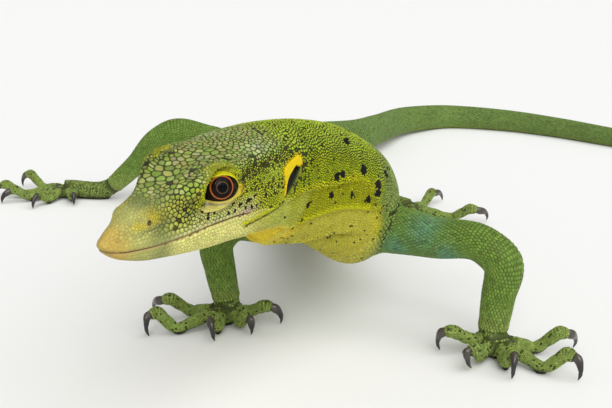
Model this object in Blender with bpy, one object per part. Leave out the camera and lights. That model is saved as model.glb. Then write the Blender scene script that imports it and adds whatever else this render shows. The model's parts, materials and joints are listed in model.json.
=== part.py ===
# Emerald tree monitor, a still life-size model in a low walking stance.
# Every length and place below is in millimetres, and one scale at the end makes metres of them.

import math

import bmesh
import bpy
import numpy as np

MM = 0.001
GAP = 0.3
FLOOR = 0.0

# Places are measured from a point on the floor in front of the animal, +Y along the body to the
# tail and +X to its left. The middle of the footprint becomes the model's origin.
FOOTPRINT_MIDDLE = (124.7, 380.8)

# The head: the middle between the eyes, and its own forward, left and up directions.
EYE_MIDDLE = np.array((-24.3, 233.3, 50.2))
FORWARD = np.array((-0.570, -0.815, -0.100))
LEFTWARD = np.array((0.821, -0.561, -0.110))
UPWARD = np.cross(FORWARD, LEFTWARD)
TIP_TO_EYES = 24.5
STRAIGHT_HEAD = 42.0
TIP_ROUNDING = 4.2
TIP_HEIGHT = -3.9

# Half sections of the head, in its own frame. Each row: way back from the snout's tip, height of
# the roof, brow out and up, cheek out and up, lip out and up, jaw out and up, height of the chin.
HEAD_SECTIONS = (
    (0.0, -2.6, 1.0, -2.9, 1.8, -3.9, 2.4, -5.1, 1.7, -6.5, -7.0),
    (4.0, -1.2, 1.7, -1.8, 2.9, -3.2, 3.8, -5.3, 3.1, -7.9, -8.7),
    (8.0, 0.4, 2.4, -0.3, 3.8, -2.0, 4.9, -5.5, 4.2, -9.1, -10.2),
    (13.0, 2.1, 3.5, 1.4, 4.8, -1.2, 6.1, -5.8, 5.3, -9.9, -11.2),
    (18.0, 3.5, 5.7, 3.2, 6.4, -0.8, 7.4, -5.8, 6.4, -10.5, -11.9),
    (24.0, 5.1, 8.4, 5.1, 8.6, 0.0, 8.6, -5.5, 7.5, -11.1, -12.7),
    (30.0, 6.0, 8.8, 5.1, 9.4, 0.0, 9.2, -5.9, 8.2, -11.5, -13.6),
    (37.0, 6.7, 8.6, 5.0, 10.0, -0.4, 10.0, -6.3, 8.9, -12.2, -15.8),
    (44.0, 7.0, 8.2, 4.8, 10.4, -0.8, 10.4, -6.6, 9.3, -12.6, -17.0),
    (54.0, 7.2, 8.1, 4.6, 10.2, -1.0, 10.3, -7.2, 9.2, -13.8, -20.8),
)

# The spine behind the head. Each row: place, half width, height above and depth below the spine.
SPINE = (
    (-14.33, 247.56, 51.95, 10.3, 7.2, 15.8),
    (-6.3, 259.2, 51.2, 10.4, 7.6, 20.2),
    (2.5, 272.5, 45.0, 10.8, 10.8, 18.4),
    (10.8, 289.0, 33.0, 12.4, 14.6, 16.2),
    (8.0, 312.0, 28.6, 12.8, 13.6, 17.4),
    (4.5, 335.0, 25.0, 14.4, 13.4, 18.0),
    (1.5, 365.0, 21.4, 14.4, 13.4, 16.2),
    (-4.0, 395.0, 18.0, 12.4, 12.6, 11.5),
    (-8.5, 416.0, 15.5, 10.6, 11.0, 10.0),
    (-5.5, 437.0, 13.5, 8.8, 9.5, 9.2),
    (4.5, 451.5, 12.0, 7.6, 8.6, 8.2),
    (17.4, 466.2, 10.8, 6.6, 7.6, 7.4),
    (28.9, 493.1, 9.0, 5.6, 6.4, 6.4),
    (46.6, 529.6, 6.5, 5.1, 5.8, 5.9),
    (63.9, 543.0, 5.1, 4.8, 5.4, 5.4),
    (88.3, 537.6, 4.7, 4.4, 4.9, 5.0),
    (112.4, 521.6, 4.2, 4.0, 4.4, 4.5),
    (130.9, 503.5, 3.8, 3.6, 4.1, 4.1),
    (165.0, 474.0, 3.2, 3.0, 3.5, 3.5),
    (205.0, 452.0, 2.6, 2.4, 2.8, 2.9),
    (250.0, 444.0, 2.0, 1.9, 2.2, 2.3),
    (295.0, 455.0, 1.5, 1.4, 1.6, 1.8),
    (335.0, 474.0, 1.0, 0.95, 1.05, 1.3),
    (362.0, 486.0, 0.7, 0.5, 0.5, 1.0),
)

# Where the body is parted, by the way along it from the snout's tip.
NECK_START = 54.0
TORSO_START = 86.0
TAIL_STARTS = (247.0, 318.0, 372.0, 430.0, 500.0, 600.0)

# Section keys of the neck, trunk and tail: turns from the top, in degrees.
KEY_TURNS = (0.0, 40.0, 78.0, 112.0, 146.0, 180.0)

# Bumps and hollows of the head: way back, height, reach, and how far the skin stands out there.
HEAD_SWELLINGS = (
    (9.0, -1.3, 2.6, 0.6),
    (14.5, 0.2, 3.2, -0.4),
    (23.0, 5.0, 4.2, 0.9),
    (36.0, 3.4, 3.6, -0.5),
    (40.0, -5.0, 6.0, 0.7),
)

# Eyes, lids, ears and nostrils, in the head's frame: way back, height, way out from the middle.
EYE_PLACE = (26.4, 1.15, 6.45)
EYE_RADIUS = 3.6
LID_SIZE = (5.2, 3.9, 4.3)
LID_OPENING = (3.9, 2.9)
EAR_PLACE = (47.4, -2.7, 10.8)
EAR_SIZE = (1.4, 4.0, 2.4)
EAR_LEAN = 32.0
NOSTRIL_PLACE = (9.0, -1.4, 4.7)
NOSTRIL_SIZE = (1.0, 0.65, 1.2)

# The line of the mouth from the front, then down the crease behind the jaw: way back and height.
MOUTH_LINE = ((-6.0, -5.2), (0.0, -5.2), (7.4, -5.5), (14.1, -5.9), (19.5, -5.9), (24.0, -5.5),
              (28.8, -5.8), (33.6, -6.4))
JAW_CREASE = ((35.6, -8.6), (38.0, -12.0), (40.5, -20.0))

# Limbs. Each row: place and radius, from inside the trunk to the wrist or ankle.
LIMBS = {
    "arm_left": ((8.0, 291.0, 25.8, 8.0), (20.0, 288.3, 25.6, 6.6), (31.6, 279.6, 25.6, 5.2),
                 (42.2, 272.0, 26.0, 4.7), (46.3, 269.4, 22.6, 4.9), (45.6, 269.3, 14.0, 4.2),
                 (44.8, 269.7, 6.6, 3.9)),
    "arm_right": ((12.0, 292.0, 26.6, 8.4), (0.5, 290.0, 27.6, 6.4), (-9.0, 287.2, 27.2, 5.4),
                  (-18.6, 288.4, 26.2, 4.5), (-22.4, 289.6, 21.6, 4.5), (-21.8, 290.4, 14.0, 4.1),
                  (-20.5, 291.0, 6.6, 3.8)),
    "leg_left": ((-6.0, 416.0, 15.0, 6.0), (2.0, 411.0, 16.0, 6.0), (10.0, 399.0, 17.8, 5.4),
                 (15.6, 389.0, 21.0, 4.8), (20.6, 385.2, 20.4, 4.4), (23.0, 388.6, 14.8, 4.2),
                 (23.8, 393.6, 9.6, 3.8), (25.0, 399.0, 5.4, 3.4)),
    "leg_right": ((-9.0, 416.0, 15.0, 6.0), (-19.0, 413.6, 16.4, 6.0), (-34.0, 409.0, 22.6, 5.2),
                  (-46.2, 406.2, 25.8, 4.6), (-51.0, 406.4, 23.2, 4.4), (-59.4, 409.6, 13.8, 3.8),
                  (-67.6, 413.2, 5.8, 3.4)),
}
# Where a limb is parted at the elbow or knee, as a share of its length.
LIMB_PARTING = {"arm_left": 0.63, "arm_right": 0.61, "leg_left": 0.60, "leg_right": 0.60}

# Palms and soles: the middle, radius and height.
PALMS = {
    "hand_left": ((45.8, 267.4, 2.3), 4.6, 2.9),
    "hand_right": ((-20.9, 289.6, 2.3), 4.5, 2.9),
    "foot_left": ((34.6, 390.2, 2.3), 4.2, 2.6),
    "foot_right": ((-86.0, 416.6, 2.3), 4.4, 2.6),
}
LIMB_OF = {"hand_left": "arm_left", "hand_right": "arm_right",
           "foot_left": "leg_left", "foot_right": "leg_right"}

# Digits, first to fifth. Each row: its root, the pad that touches the floor, the arched last
# joint, and the claw's tip.
DIGITS = {
    "hand_left": (
        ((43.0, 268.6, 3.4), (38.6, 268.4, 4.0), (34.6, 267.2, 6.2), (32.2, 269.9, 0.4)),
        ((43.4, 266.4, 3.0), (41.0, 262.4, 2.0), (38.9, 257.8, 5.4), (38.2, 258.0, 0.6)),
        ((46.0, 264.6, 3.0), (46.2, 258.4, 1.4), (47.0, 255.9, 5.6), (46.6, 252.4, 0.4)),
        ((47.6, 265.0, 3.2), (54.6, 256.2, 1.4), (59.4, 253.6, 5.8), (61.5, 251.6, 0.4)),
        ((48.4, 267.8, 3.4), (54.6, 268.6, 1.4), (60.4, 266.7, 6.0), (64.6, 271.4, 0.4)),
    ),
    "hand_right": (
        ((-18.4, 289.6, 3.4), (-14.2, 288.4, 3.6), (-10.2, 286.5, 5.6), (-6.5, 287.7, 0.4)),
        ((-18.6, 288.2, 3.0), (-16.6, 284.4, 2.0), (-15.0, 281.2, 5.0), (-13.7, 279.8, 0.4)),
        ((-21.4, 287.4, 3.0), (-22.0, 281.4, 1.4), (-23.2, 279.0, 5.4), (-22.4, 275.6, 0.4)),
        ((-23.4, 287.8, 3.2), (-32.4, 281.4, 1.4), (-37.2, 280.9, 5.8), (-38.9, 278.9, 0.4)),
        ((-23.8, 290.0, 3.4), (-29.6, 293.8, 1.6), (-35.0, 290.6, 6.0), (-39.2, 296.4, 0.4)),
    ),
    "foot_left": (
        ((32.8, 388.8, 3.0), (28.8, 385.2, 1.4), (25.4, 382.6, 3.6), (22.4, 380.6, 0.4)),
        ((33.6, 388.0, 3.0), (32.0, 380.4, 1.4), (31.4, 376.2, 4.2), (30.6, 372.4, 0.4)),
        ((35.4, 387.8, 3.0), (36.6, 378.6, 1.4), (37.4, 373.8, 4.4), (38.2, 369.4, 0.4)),
        ((37.2, 389.2, 3.0), (48.0, 384.6, 1.4), (54.4, 379.8, 5.6), (60.0, 384.6, 0.4)),
        ((36.4, 392.2, 3.0), (40.0, 399.0, 1.4), (43.6, 403.4, 5.0), (48.2, 410.4, 0.4)),
    ),
    "foot_right": (
        ((-85.0, 414.6, 3.0), (-82.6, 410.4, 1.4), (-81.6, 407.4, 3.8), (-81.0, 404.2, 0.4)),
        ((-87.6, 414.2, 3.0), (-90.4, 407.4, 1.4), (-92.4, 403.6, 4.4), (-94.2, 399.8, 0.4)),
        ((-89.0, 415.6, 3.0), (-97.6, 410.8, 1.4), (-102.4, 408.8, 4.6), (-106.6, 406.8, 0.4)),
        ((-89.2, 417.2, 3.0), (-100.4, 415.8, 1.4), (-107.6, 416.6, 4.6), (-112.6, 417.4, 0.4)),
        ((-88.2, 418.8, 3.0), (-95.6, 425.0, 1.4), (-101.2, 428.4, 5.6), (-104.8, 431.2, 0.4)),
    ),
}
DIGIT_RADII = (1.95, 1.6, 1.75, 1.35)
CLAW_RADII = (1.2, 0.95, 0.22)
LAST_JOINT = (1.4, 0.35)

# Facets: points round the body, a limb, a digit and a claw.
BODY_SIDES = 24
LIMB_SIDES = 12
DIGIT_SIDES = 7
CLAW_SIDES = 6

GREEN = (0.16, 0.33, 0.05)
YELLOW_GREEN = (0.36, 0.45, 0.06)
LEAF_GREEN = (0.09, 0.24, 0.04)
DARK_EYE = (0.03, 0.02, 0.015)
CLAW_BLACK = (0.02, 0.018, 0.016)


def between(rows, at):
    """Smooth curve through rows whose first value is the place along it."""
    rows = np.array(rows, float)
    place, value = rows[:, 0], rows[:, 1:]
    slope = np.gradient(value, place, axis=0)
    at = np.asarray(at, float)
    low = np.clip(np.searchsorted(place, at) - 1, 0, len(place) - 2)
    step = (place[low + 1] - place[low])[..., None]
    t = ((at - place[low]) / step[..., 0])[..., None]
    t = np.clip(t, 0.0, 1.0)
    start = value[low] * (1 + 2 * t) * (1 - t) ** 2 + slope[low] * step * t * (1 - t) ** 2
    end = value[low + 1] * t * t * (3 - 2 * t) + slope[low + 1] * step * t * t * (t - 1)
    return start + end


def smooth_step(low, high, value):
    t = np.clip((value - low) / (high - low), 0.0, 1.0)
    return t * t * (3 - 2 * t)


def along(points):
    """Put the way along the points in front of each row."""
    points = np.array(points, float)
    steps = np.linalg.norm(np.diff(points[:, :3], axis=0), axis=1)
    return np.column_stack((np.concatenate(((0.0,), np.cumsum(steps))), points))


def unit(vectors):
    return vectors / np.linalg.norm(vectors, axis=-1, keepdims=True)


def spine_rows():
    rows = along(SPINE)
    rows[:, 0] += STRAIGHT_HEAD
    return rows


def spine_frame(way):
    """Place, left and up directions of the body's middle line, at a way from the snout's tip."""
    rows = spine_rows()
    straight = np.array((-10.0, 12.0, STRAIGHT_HEAD - 8.0))
    lead = EYE_MIDDLE + FORWARD * (TIP_TO_EYES - straight)[:, None]
    rows = np.vstack((np.column_stack((straight, lead)), rows[:, :4]))
    place = between(rows, way)
    back = unit(between(rows, way + 0.4) - between(rows, way - 0.4))
    level = smooth_step(STRAIGHT_HEAD, 90.0, way)[:, None]
    up = unit(UPWARD * (1 - level) + np.array((0.0, 0.0, 1.0)) * level)
    left = unit(np.cross(up, -back))
    up = np.cross(-back, left)
    return place, left, up


def head_keys(way):
    """Left half of the head's sections: six keys, each with its way out and height."""
    row = between(HEAD_SECTIONS, way)
    out = np.stack((0 * row[:, 0], row[:, 1], row[:, 3], row[:, 5], row[:, 7], 0 * row[:, 0]), 1)
    height = np.stack((row[:, 0], row[:, 2], row[:, 4], row[:, 6], row[:, 8], row[:, 9]), 1)
    blunt = np.clip((way + 0.4) / TIP_ROUNDING, 0.0, 1.0)[:, None]
    blunt = np.sqrt(1 - (1 - blunt) ** 2)
    return out * blunt, TIP_HEIGHT + (height - TIP_HEIGHT) * blunt


def body_keys(way):
    size = between(spine_rows()[:, (0, 4, 5, 6)], way)
    turn = np.radians(KEY_TURNS)
    out = size[:, :1] * np.sin(turn)
    height = np.where(np.cos(turn) > 0, size[:, 1:2], size[:, 2:3]) * np.cos(turn)
    return out, height


def closed_curve(keys, turns):
    """Smooth closed curve through rings of keys, at turns from 0 to the number of keys."""
    count = keys.shape[1]
    low = np.floor(turns).astype(int) % count
    t = (turns % 1.0)[None, :, None]
    before, start = keys[:, low - 1], keys[:, low]
    end, after = keys[:, (low + 1) % count], keys[:, (low + 2) % count]
    leave, arrive = (end - before) / 2, (after - start) / 2
    return (start * (1 + 2 * t) * (1 - t) ** 2 + leave * t * (1 - t) ** 2
            + end * t * t * (3 - 2 * t) + arrive * t * t * (t - 1))


def body_rings(ways, sides):
    """Rings of points round the head, neck, trunk and tail at the given ways along."""
    ways = np.asarray(ways, float)
    head_out, head_up = head_keys(ways)
    body_out, body_up = body_keys(ways)
    share = smooth_step(44.0, 62.0, ways)[:, None]
    out = head_out * (1 - share) + body_out * share
    height = head_up * (1 - share) + body_up * share
    keys = np.stack((out, height), 2)
    other_side = keys[:, 4:0:-1] * np.array((-1.0, 1.0))
    section = closed_curve(np.concatenate((keys, other_side), 1), np.arange(sides) * 10 / sides)
    swell = np.zeros(section.shape[:2])
    for back, up, reach, stand in HEAD_SWELLINGS:
        distance = (ways[:, None] - back) ** 2 + (section[:, :, 1] - up) ** 2
        swell += stand * np.exp(-distance / reach ** 2)
    section[:, :, 0] += swell * np.sign(section[:, :, 0]) * smooth_step(1.0, 4.0, abs(section[:, :, 0]))
    place, left, up = spine_frame(ways)
    points = place[:, None] + left[:, None] * section[:, :, :1] + up[:, None] * section[:, :, 1:]
    points[:, :, 2] = np.maximum(points[:, :, 2], FLOOR)
    return points


def tube_rings(points, start, end, count, sides):
    """Rings of a round tube through rows of place and radius, from one share of it to another."""
    rows = along(points)
    ways = np.linspace(start, end, count) * rows[-1, 0]
    row = between(rows, ways)
    step = 0.01 * rows[-1, 0]
    back = unit(between(rows, ways + step)[:, :3] - between(rows, ways - step)[:, :3])
    side = unit(np.cross(back[0], np.array((0.31, 0.52, 0.79))))
    rings = []
    turns = np.arange(sides) * 2 * math.pi / sides
    for middle, radius, direction in zip(row[:, :3], row[:, 3], back):
        side = unit(side - direction * np.dot(side, direction))
        other = np.cross(direction, side)
        rings.append(middle + radius * (np.outer(np.cos(turns), side) + np.outer(np.sin(turns), other)))
    return np.array(rings)


def solid(name, rings, collection):
    """Closed loft through rings, with flat ends."""
    count, sides = rings.shape[:2]
    shell = bmesh.new()
    verts = [[shell.verts.new(point) for point in ring] for ring in rings]
    for lower, upper in zip(verts, verts[1:]):
        for i in range(sides):
            j = (i + 1) % sides
            shell.faces.new((lower[i], lower[j], upper[j], upper[i]))
    shell.faces.new(verts[0][::-1])
    shell.faces.new(verts[-1])
    bmesh.ops.triangulate(shell, faces=[face for face in shell.faces if len(face.verts) == 4])
    shell.normal_update()
    bmesh.ops.recalc_face_normals(shell, faces=shell.faces)
    return new_object(name, shell, collection)


def new_object(name, shell, collection):
    mesh = bpy.data.meshes.new(name)
    shell.to_mesh(mesh)
    shell.free()
    body = bpy.data.objects.new(name, mesh)
    collection.objects.link(body)
    return body


def ball(name, middle, axes, sides, collection):
    """Ellipsoid whose three half axes are given as vectors."""
    shell = bmesh.new()
    bmesh.ops.create_uvsphere(shell, u_segments=sides, v_segments=sides // 2, radius=1.0)
    for vert in shell.verts:
        vert.co = middle + sum(axis * part for axis, part in zip(axes, vert.co))
    shell.normal_update()
    bmesh.ops.recalc_face_normals(shell, faces=shell.faces)
    return new_object(name, shell, collection)


def keep_largest(body):
    """Drop every scrap but the largest closed surface."""
    shell = bmesh.new()
    shell.from_mesh(body.data)
    left = set(shell.verts)
    groups = []
    while left:
        group, front = set(), [left.pop()]
        while front:
            vert = front.pop()
            group.add(vert)
            for edge in vert.link_edges:
                other = edge.other_vert(vert)
                if other in left:
                    left.discard(other)
                    front.append(other)
        groups.append(group)
    largest = max(groups, key=len)
    scraps = [vert for vert in shell.verts if vert not in largest]
    bmesh.ops.delete(shell, geom=scraps, context="VERTS")
    shell.to_mesh(body.data)
    shell.free()


def apply_modifiers(body):
    seen = body.evaluated_get(bpy.context.evaluated_depsgraph_get())
    mesh = bpy.data.meshes.new_from_object(seen)
    body.modifiers.clear()
    body.data = mesh
    keep_largest(body)


def boolean(body, cutter, operation, solver="EXACT"):
    """Cut one mesh with another and leave the result in the body's mesh."""
    change = body.modifiers.new("change", "BOOLEAN")
    change.solver = solver
    change.object = cutter
    change.operation = operation
    apply_modifiers(body)


def union(pieces, name, solver="EXACT"):
    """Join pieces to the first of them by one union on a collection, and drop the others."""
    heap = bpy.data.collections.new(name + "_pieces")
    bpy.context.scene.collection.children.link(heap)
    for piece in pieces[1:]:
        for owner in piece.users_collection:
            owner.objects.unlink(piece)
        heap.objects.link(piece)
    join = pieces[0].modifiers.new("join", "BOOLEAN")
    join.solver = solver
    join.operand_type = "COLLECTION"
    join.collection = heap
    join.operation = "UNION"
    apply_modifiers(pieces[0])
    for piece in pieces[1:]:
        bpy.data.objects.remove(piece)
    bpy.data.collections.remove(heap)
    return pieces[0]


def head_place(back, up, out):
    return EYE_MIDDLE + FORWARD * (TIP_TO_EYES - back) + UPWARD * up + LEFTWARD * out


def head_ball(name, place, size, lean, side, sides, collection):
    """Ellipsoid in the head's frame; size is along, up and out, leaning back at the top."""
    back, up, out = place
    turn = math.radians(lean)
    along_axis = -FORWARD * math.cos(turn) - UPWARD * math.sin(turn)
    up_axis = UPWARD * math.cos(turn) - FORWARD * math.sin(turn)
    axes = (along_axis * size[0], up_axis * size[1], LEFTWARD * size[2] * side)
    return ball(name, head_place(back, up, out * side), axes, sides, collection)


def mouth_wedge(name, raise_by, cutters):
    """Everything below the line of the mouth and in front of the crease behind the jaw."""
    line = [(back, up + raise_by) for back, up in MOUTH_LINE]
    crease = [(back + raise_by, up + raise_by * 0.6) for back, up in JAW_CREASE]
    outline = line + crease + [(-6.0, -20.0)]
    rings = [[head_place(back, up, out) for back, up in outline] for out in (-20.0, 20.0)]
    return solid(name, np.array(rings), cutters)


def make_head(part, cutters):
    ways = np.concatenate((np.array((-0.36, 0.1, 0.9, 2.0)), np.linspace(3.6, 17.0, 7),
                           np.linspace(19.0, 33.0, 9), np.linspace(35.8, NECK_START, 7)))
    head = solid("head", body_rings(ways, BODY_SIDES), part)
    jaw = head.copy()
    jaw.data = head.data.copy()
    jaw.name = "lower_jaw"
    part.objects.link(jaw)
    boolean(jaw, mouth_wedge("mouth_below", 0.0, cutters), "INTERSECT")
    boolean(head, mouth_wedge("mouth_above", GAP, cutters), "DIFFERENCE")
    lids = [head_ball("lids", EYE_PLACE, LID_SIZE, 0, side, 16, part) for side in (1, -1)]
    head = union([head] + lids, "head")
    for side, word in ((1, "left"), (-1, "right")):
        back, up, out = EYE_PLACE
        opening = (back, up, out + EYE_RADIUS)
        size = (LID_OPENING[0], LID_OPENING[1], EYE_RADIUS)
        boolean(head, head_ball("lid_cut_" + word, opening, size, -12, side, 14, cutters), "DIFFERENCE")
        room = (EYE_RADIUS + GAP,) * 3
        boolean(head, head_ball("eye_room_" + word, EYE_PLACE, room, 0, side, 16, cutters), "DIFFERENCE")
        eye = head_ball("eye_" + word, EYE_PLACE, (EYE_RADIUS,) * 3, 0, side, 16, part)
        finish(eye, DARK_EYE, 0.15)
        ear = head_ball("ear_cut_" + word, EAR_PLACE, EAR_SIZE, EAR_LEAN, side, 12, cutters)
        boolean(head, ear, "DIFFERENCE")
        nostril = head_ball("nostril_cut_" + word, NOSTRIL_PLACE, NOSTRIL_SIZE, 20, side, 8, cutters)
        boolean(head, nostril, "DIFFERENCE")
    finish(head, GREEN, 0.45)
    finish(jaw, YELLOW_GREEN, 0.45)


def body_length(name, start, end, spacing, sides, part):
    count = max(3, int(round((end - start) / spacing)) + 1)
    return solid(name, body_rings(np.linspace(start, end, count), sides), part)


def make_trunk(part):
    """Neck, torso and tail lengths, each with a flat end that faces its neighbour's."""
    end_of_tail = spine_rows()[-1, 0]
    finish(body_length("neck", NECK_START + GAP, TORSO_START, 4.0, BODY_SIDES, part), GREEN, 0.5)
    torso = body_length("torso", TORSO_START + GAP, TAIL_STARTS[0], 6.5, BODY_SIDES, part)
    finish(torso, GREEN, 0.5)
    ends = TAIL_STARTS[1:] + (end_of_tail,)
    for number, (start, end) in enumerate(zip(TAIL_STARTS, ends), 1):
        sides = 16 if number < 4 else 12
        length = body_length(f"tail_{number}", start + GAP, end, 7.5, sides, part)
        finish(length, LEAF_GREEN, 0.5)
    return torso


def make_limb(limb, cutters, part):
    """Upper and lower length of a limb, the upper one cut to meet the trunk's side."""
    kind, side = limb.split("_")
    upper_name = "upper_arm_" if kind == "arm" else "thigh_"
    lower_name = "forearm_" if kind == "arm" else "shin_"
    rows = LIMBS[limb]
    parting = LIMB_PARTING[limb]
    length = along(rows)[-1, 0]
    upper = solid(upper_name + side, tube_rings(rows, 0.0, parting, 8, LIMB_SIDES), part)
    lower = solid(lower_name + side, tube_rings(rows, parting + GAP / length, 1.0, 7, LIMB_SIDES), part)
    boolean(upper, solid("trunk_room_" + limb, trunk_room(), cutters), "DIFFERENCE")
    wider = [(*row[:3], row[3] + GAP) for row in rows]
    lower_room = tube_rings(wider, parting + GAP / length / 2, 1.0, 13, LIMB_SIDES)
    boolean(upper, solid("lower_room_" + limb, lower_room, cutters), "DIFFERENCE", "MANIFOLD")
    finish(upper, LEAF_GREEN, 0.5)
    finish(lower, LEAF_GREEN, 0.5)


def trunk_room():
    """The torso and tail's root, a gap larger all round, to cut the limbs to its side."""
    ways = np.linspace(TORSO_START - 6.0, TAIL_STARTS[0] + 12.0, 28)
    rings = body_rings(ways, BODY_SIDES)
    middle = rings.mean(1, keepdims=True)
    away = rings - middle
    return middle + away * (1 + GAP * 1.15 / np.linalg.norm(away, axis=2, keepdims=True))


def digit_course(rows):
    """Course of a digit's flesh to its end, and of its claw from there to its tip."""
    root, pad, joint, tip = (np.array(row) for row in rows)
    level = np.array((1.0, 1.0, 0.0))
    ahead = unit(unit((joint - pad) * level) + unit((tip - joint) * level))
    flesh_end = joint + ahead * LAST_JOINT[0] - np.array((0.0, 0.0, LAST_JOINT[1]))
    flesh = [root, root * 0.45 + pad * 0.55, pad, pad * 0.45 + joint * 0.55, joint, flesh_end]
    radii = (DIGIT_RADII[0], DIGIT_RADII[1] * 1.05, DIGIT_RADII[1], DIGIT_RADII[1],
             DIGIT_RADII[2], DIGIT_RADII[3])
    course = [tuple(place) + (radius,) for place, radius in zip(flesh, radii)]
    leave = unit(flesh_end - joint)
    claw_start = flesh_end + leave * GAP
    reach = np.linalg.norm(tip - claw_start)
    bow = (claw_start + tip) / 2 + ahead * reach * 0.16 + np.array((0.0, 0.0, reach * 0.12))
    claw = [tuple(claw_start) + (CLAW_RADII[0],), tuple(claw_start + leave * 0.5) + (CLAW_RADII[0],),
            tuple(bow) + (CLAW_RADII[1],), tuple(tip) + (CLAW_RADII[2],)]
    return course, claw


def make_hand(hand, cutters, part):
    """Palm or sole with its five digits in one piece, and five claws."""
    middle, radius, height = PALMS[hand]
    middle = np.array(middle)
    rows_of_limb = LIMBS[LIMB_OF[hand]]
    limb = tube_rings(rows_of_limb, 0.97, 1.0, 2, LIMB_SIDES)
    leave = unit(limb[1].mean(0) - limb[0].mean(0))
    wrist_radius = rows_of_limb[-1][3]
    start = limb[1].mean(0) + leave * GAP
    course = [tuple(start) + (wrist_radius,), tuple(start + leave * 1.6) + (wrist_radius,),
              tuple(middle + (0, 0, 0.8)) + (radius * 0.72,)]
    pieces = [solid(hand, tube_rings(course, 0.0, 1.0, 5, LIMB_SIDES), part)]
    axes = (np.array((radius, 0, 0)), np.array((0, radius, 0)), np.array((0, 0, height)))
    pieces.append(ball(hand + "_palm", middle, axes, 12, part))
    for number, rows in enumerate(DIGITS[hand], 1):
        flesh, claw = digit_course(rows)
        pieces.append(solid(f"{hand}_digit", tube_rings(flesh, 0.0, 1.0, 8, DIGIT_SIDES), part))
        nail = solid(f"claw_{hand}_{number}", tube_rings(claw, 0.0, 1.0, 5, CLAW_SIDES), part)
        finish(nail, CLAW_BLACK, 0.3)
    body = union(pieces, hand, "MANIFOLD")
    boolean(body, ground_block("ground_" + hand, middle, cutters), "DIFFERENCE", "MANIFOLD")
    shin_room = tube_rings([(*row[:3], row[3] + GAP) for row in rows_of_limb], 0.6, 1.0, 9, LIMB_SIDES)
    shin_room[-1] += leave * GAP / 2
    boolean(body, solid("shin_room_" + hand, shin_room, cutters), "DIFFERENCE", "MANIFOLD")
    finish(body, LEAF_GREEN, 0.5)


def ground_block(name, middle, cutters):
    """Block whose top face is the floor, below one hand or foot."""
    shell = bmesh.new()
    bmesh.ops.create_cube(shell, size=1.0)
    for vert in shell.verts:
        vert.co.x = middle[0] + vert.co.x * 90.0
        vert.co.y = middle[1] + vert.co.y * 90.0
        vert.co.z = FLOOR - 10.0 + vert.co.z * 20.0
    return new_object(name, shell, cutters)


def finish(body, colour, roughness):
    """Own material, smooth shading and the node's place about the model's origin, in metres."""
    material = bpy.data.materials.new(body.name)
    material.use_nodes = True
    shader = material.node_tree.nodes["Principled BSDF"]
    shader.inputs["Base Color"].default_value = (*colour, 1.0)
    shader.inputs["Roughness"].default_value = roughness
    body.data.materials.clear()
    body.data.materials.append(material)
    for vert in body.data.vertices:
        vert.co.x = (vert.co.x - FOOTPRINT_MIDDLE[0]) * MM
        vert.co.y = (vert.co.y - FOOTPRINT_MIDDLE[1]) * MM
        vert.co.z = vert.co.z * MM
    body.data.shade_smooth()
    body.data.set_sharp_from_angle(angle=math.radians(50))


def main():
    for old in list(bpy.data.objects):
        bpy.data.objects.remove(old)
    part = bpy.data.collections.new("emerald_tree_monitor")
    cutters = bpy.data.collections.new("cutters")
    bpy.context.scene.collection.children.link(part)
    bpy.context.scene.collection.children.link(cutters)
    make_head(part, cutters)
    make_trunk(part)
    for limb in LIMBS:
        make_limb(limb, cutters, part)
    for hand in DIGITS:
        make_hand(hand, cutters, part)
    for cutter in cutters.objects:
        cutter.hide_render = True
        cutter.display_type = "WIRE"


main()
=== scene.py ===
import json
import math
import bmesh
import bpy
import numpy as np
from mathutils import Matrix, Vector, kdtree
from mathutils.bvhtree import BVHTree

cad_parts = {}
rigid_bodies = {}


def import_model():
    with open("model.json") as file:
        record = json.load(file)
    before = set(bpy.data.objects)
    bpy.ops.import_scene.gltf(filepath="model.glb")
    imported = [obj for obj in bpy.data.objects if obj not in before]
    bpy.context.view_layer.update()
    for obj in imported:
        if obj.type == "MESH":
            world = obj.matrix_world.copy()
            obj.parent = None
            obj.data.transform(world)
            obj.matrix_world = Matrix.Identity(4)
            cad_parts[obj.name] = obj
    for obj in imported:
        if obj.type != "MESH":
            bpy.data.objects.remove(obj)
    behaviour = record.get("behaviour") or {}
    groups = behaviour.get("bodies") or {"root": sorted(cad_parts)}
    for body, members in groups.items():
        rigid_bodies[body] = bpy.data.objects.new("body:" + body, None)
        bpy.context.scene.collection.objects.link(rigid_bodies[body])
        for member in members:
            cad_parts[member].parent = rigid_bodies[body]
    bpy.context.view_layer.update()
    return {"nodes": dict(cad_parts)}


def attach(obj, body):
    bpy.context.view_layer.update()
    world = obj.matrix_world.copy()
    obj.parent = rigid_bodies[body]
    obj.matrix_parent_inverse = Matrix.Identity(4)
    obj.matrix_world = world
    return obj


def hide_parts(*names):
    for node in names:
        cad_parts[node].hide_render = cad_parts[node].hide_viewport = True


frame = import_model()
print("frame loaded")

# Lengths and places are in millimetres. The origin of the frame lies under the footprint's middle.
ground = {
    "footprintMiddle": np.array((124.7, 380.8, 0.0)),
    "millimetre": 0.001,
    "floor": 0.0,
}

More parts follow.
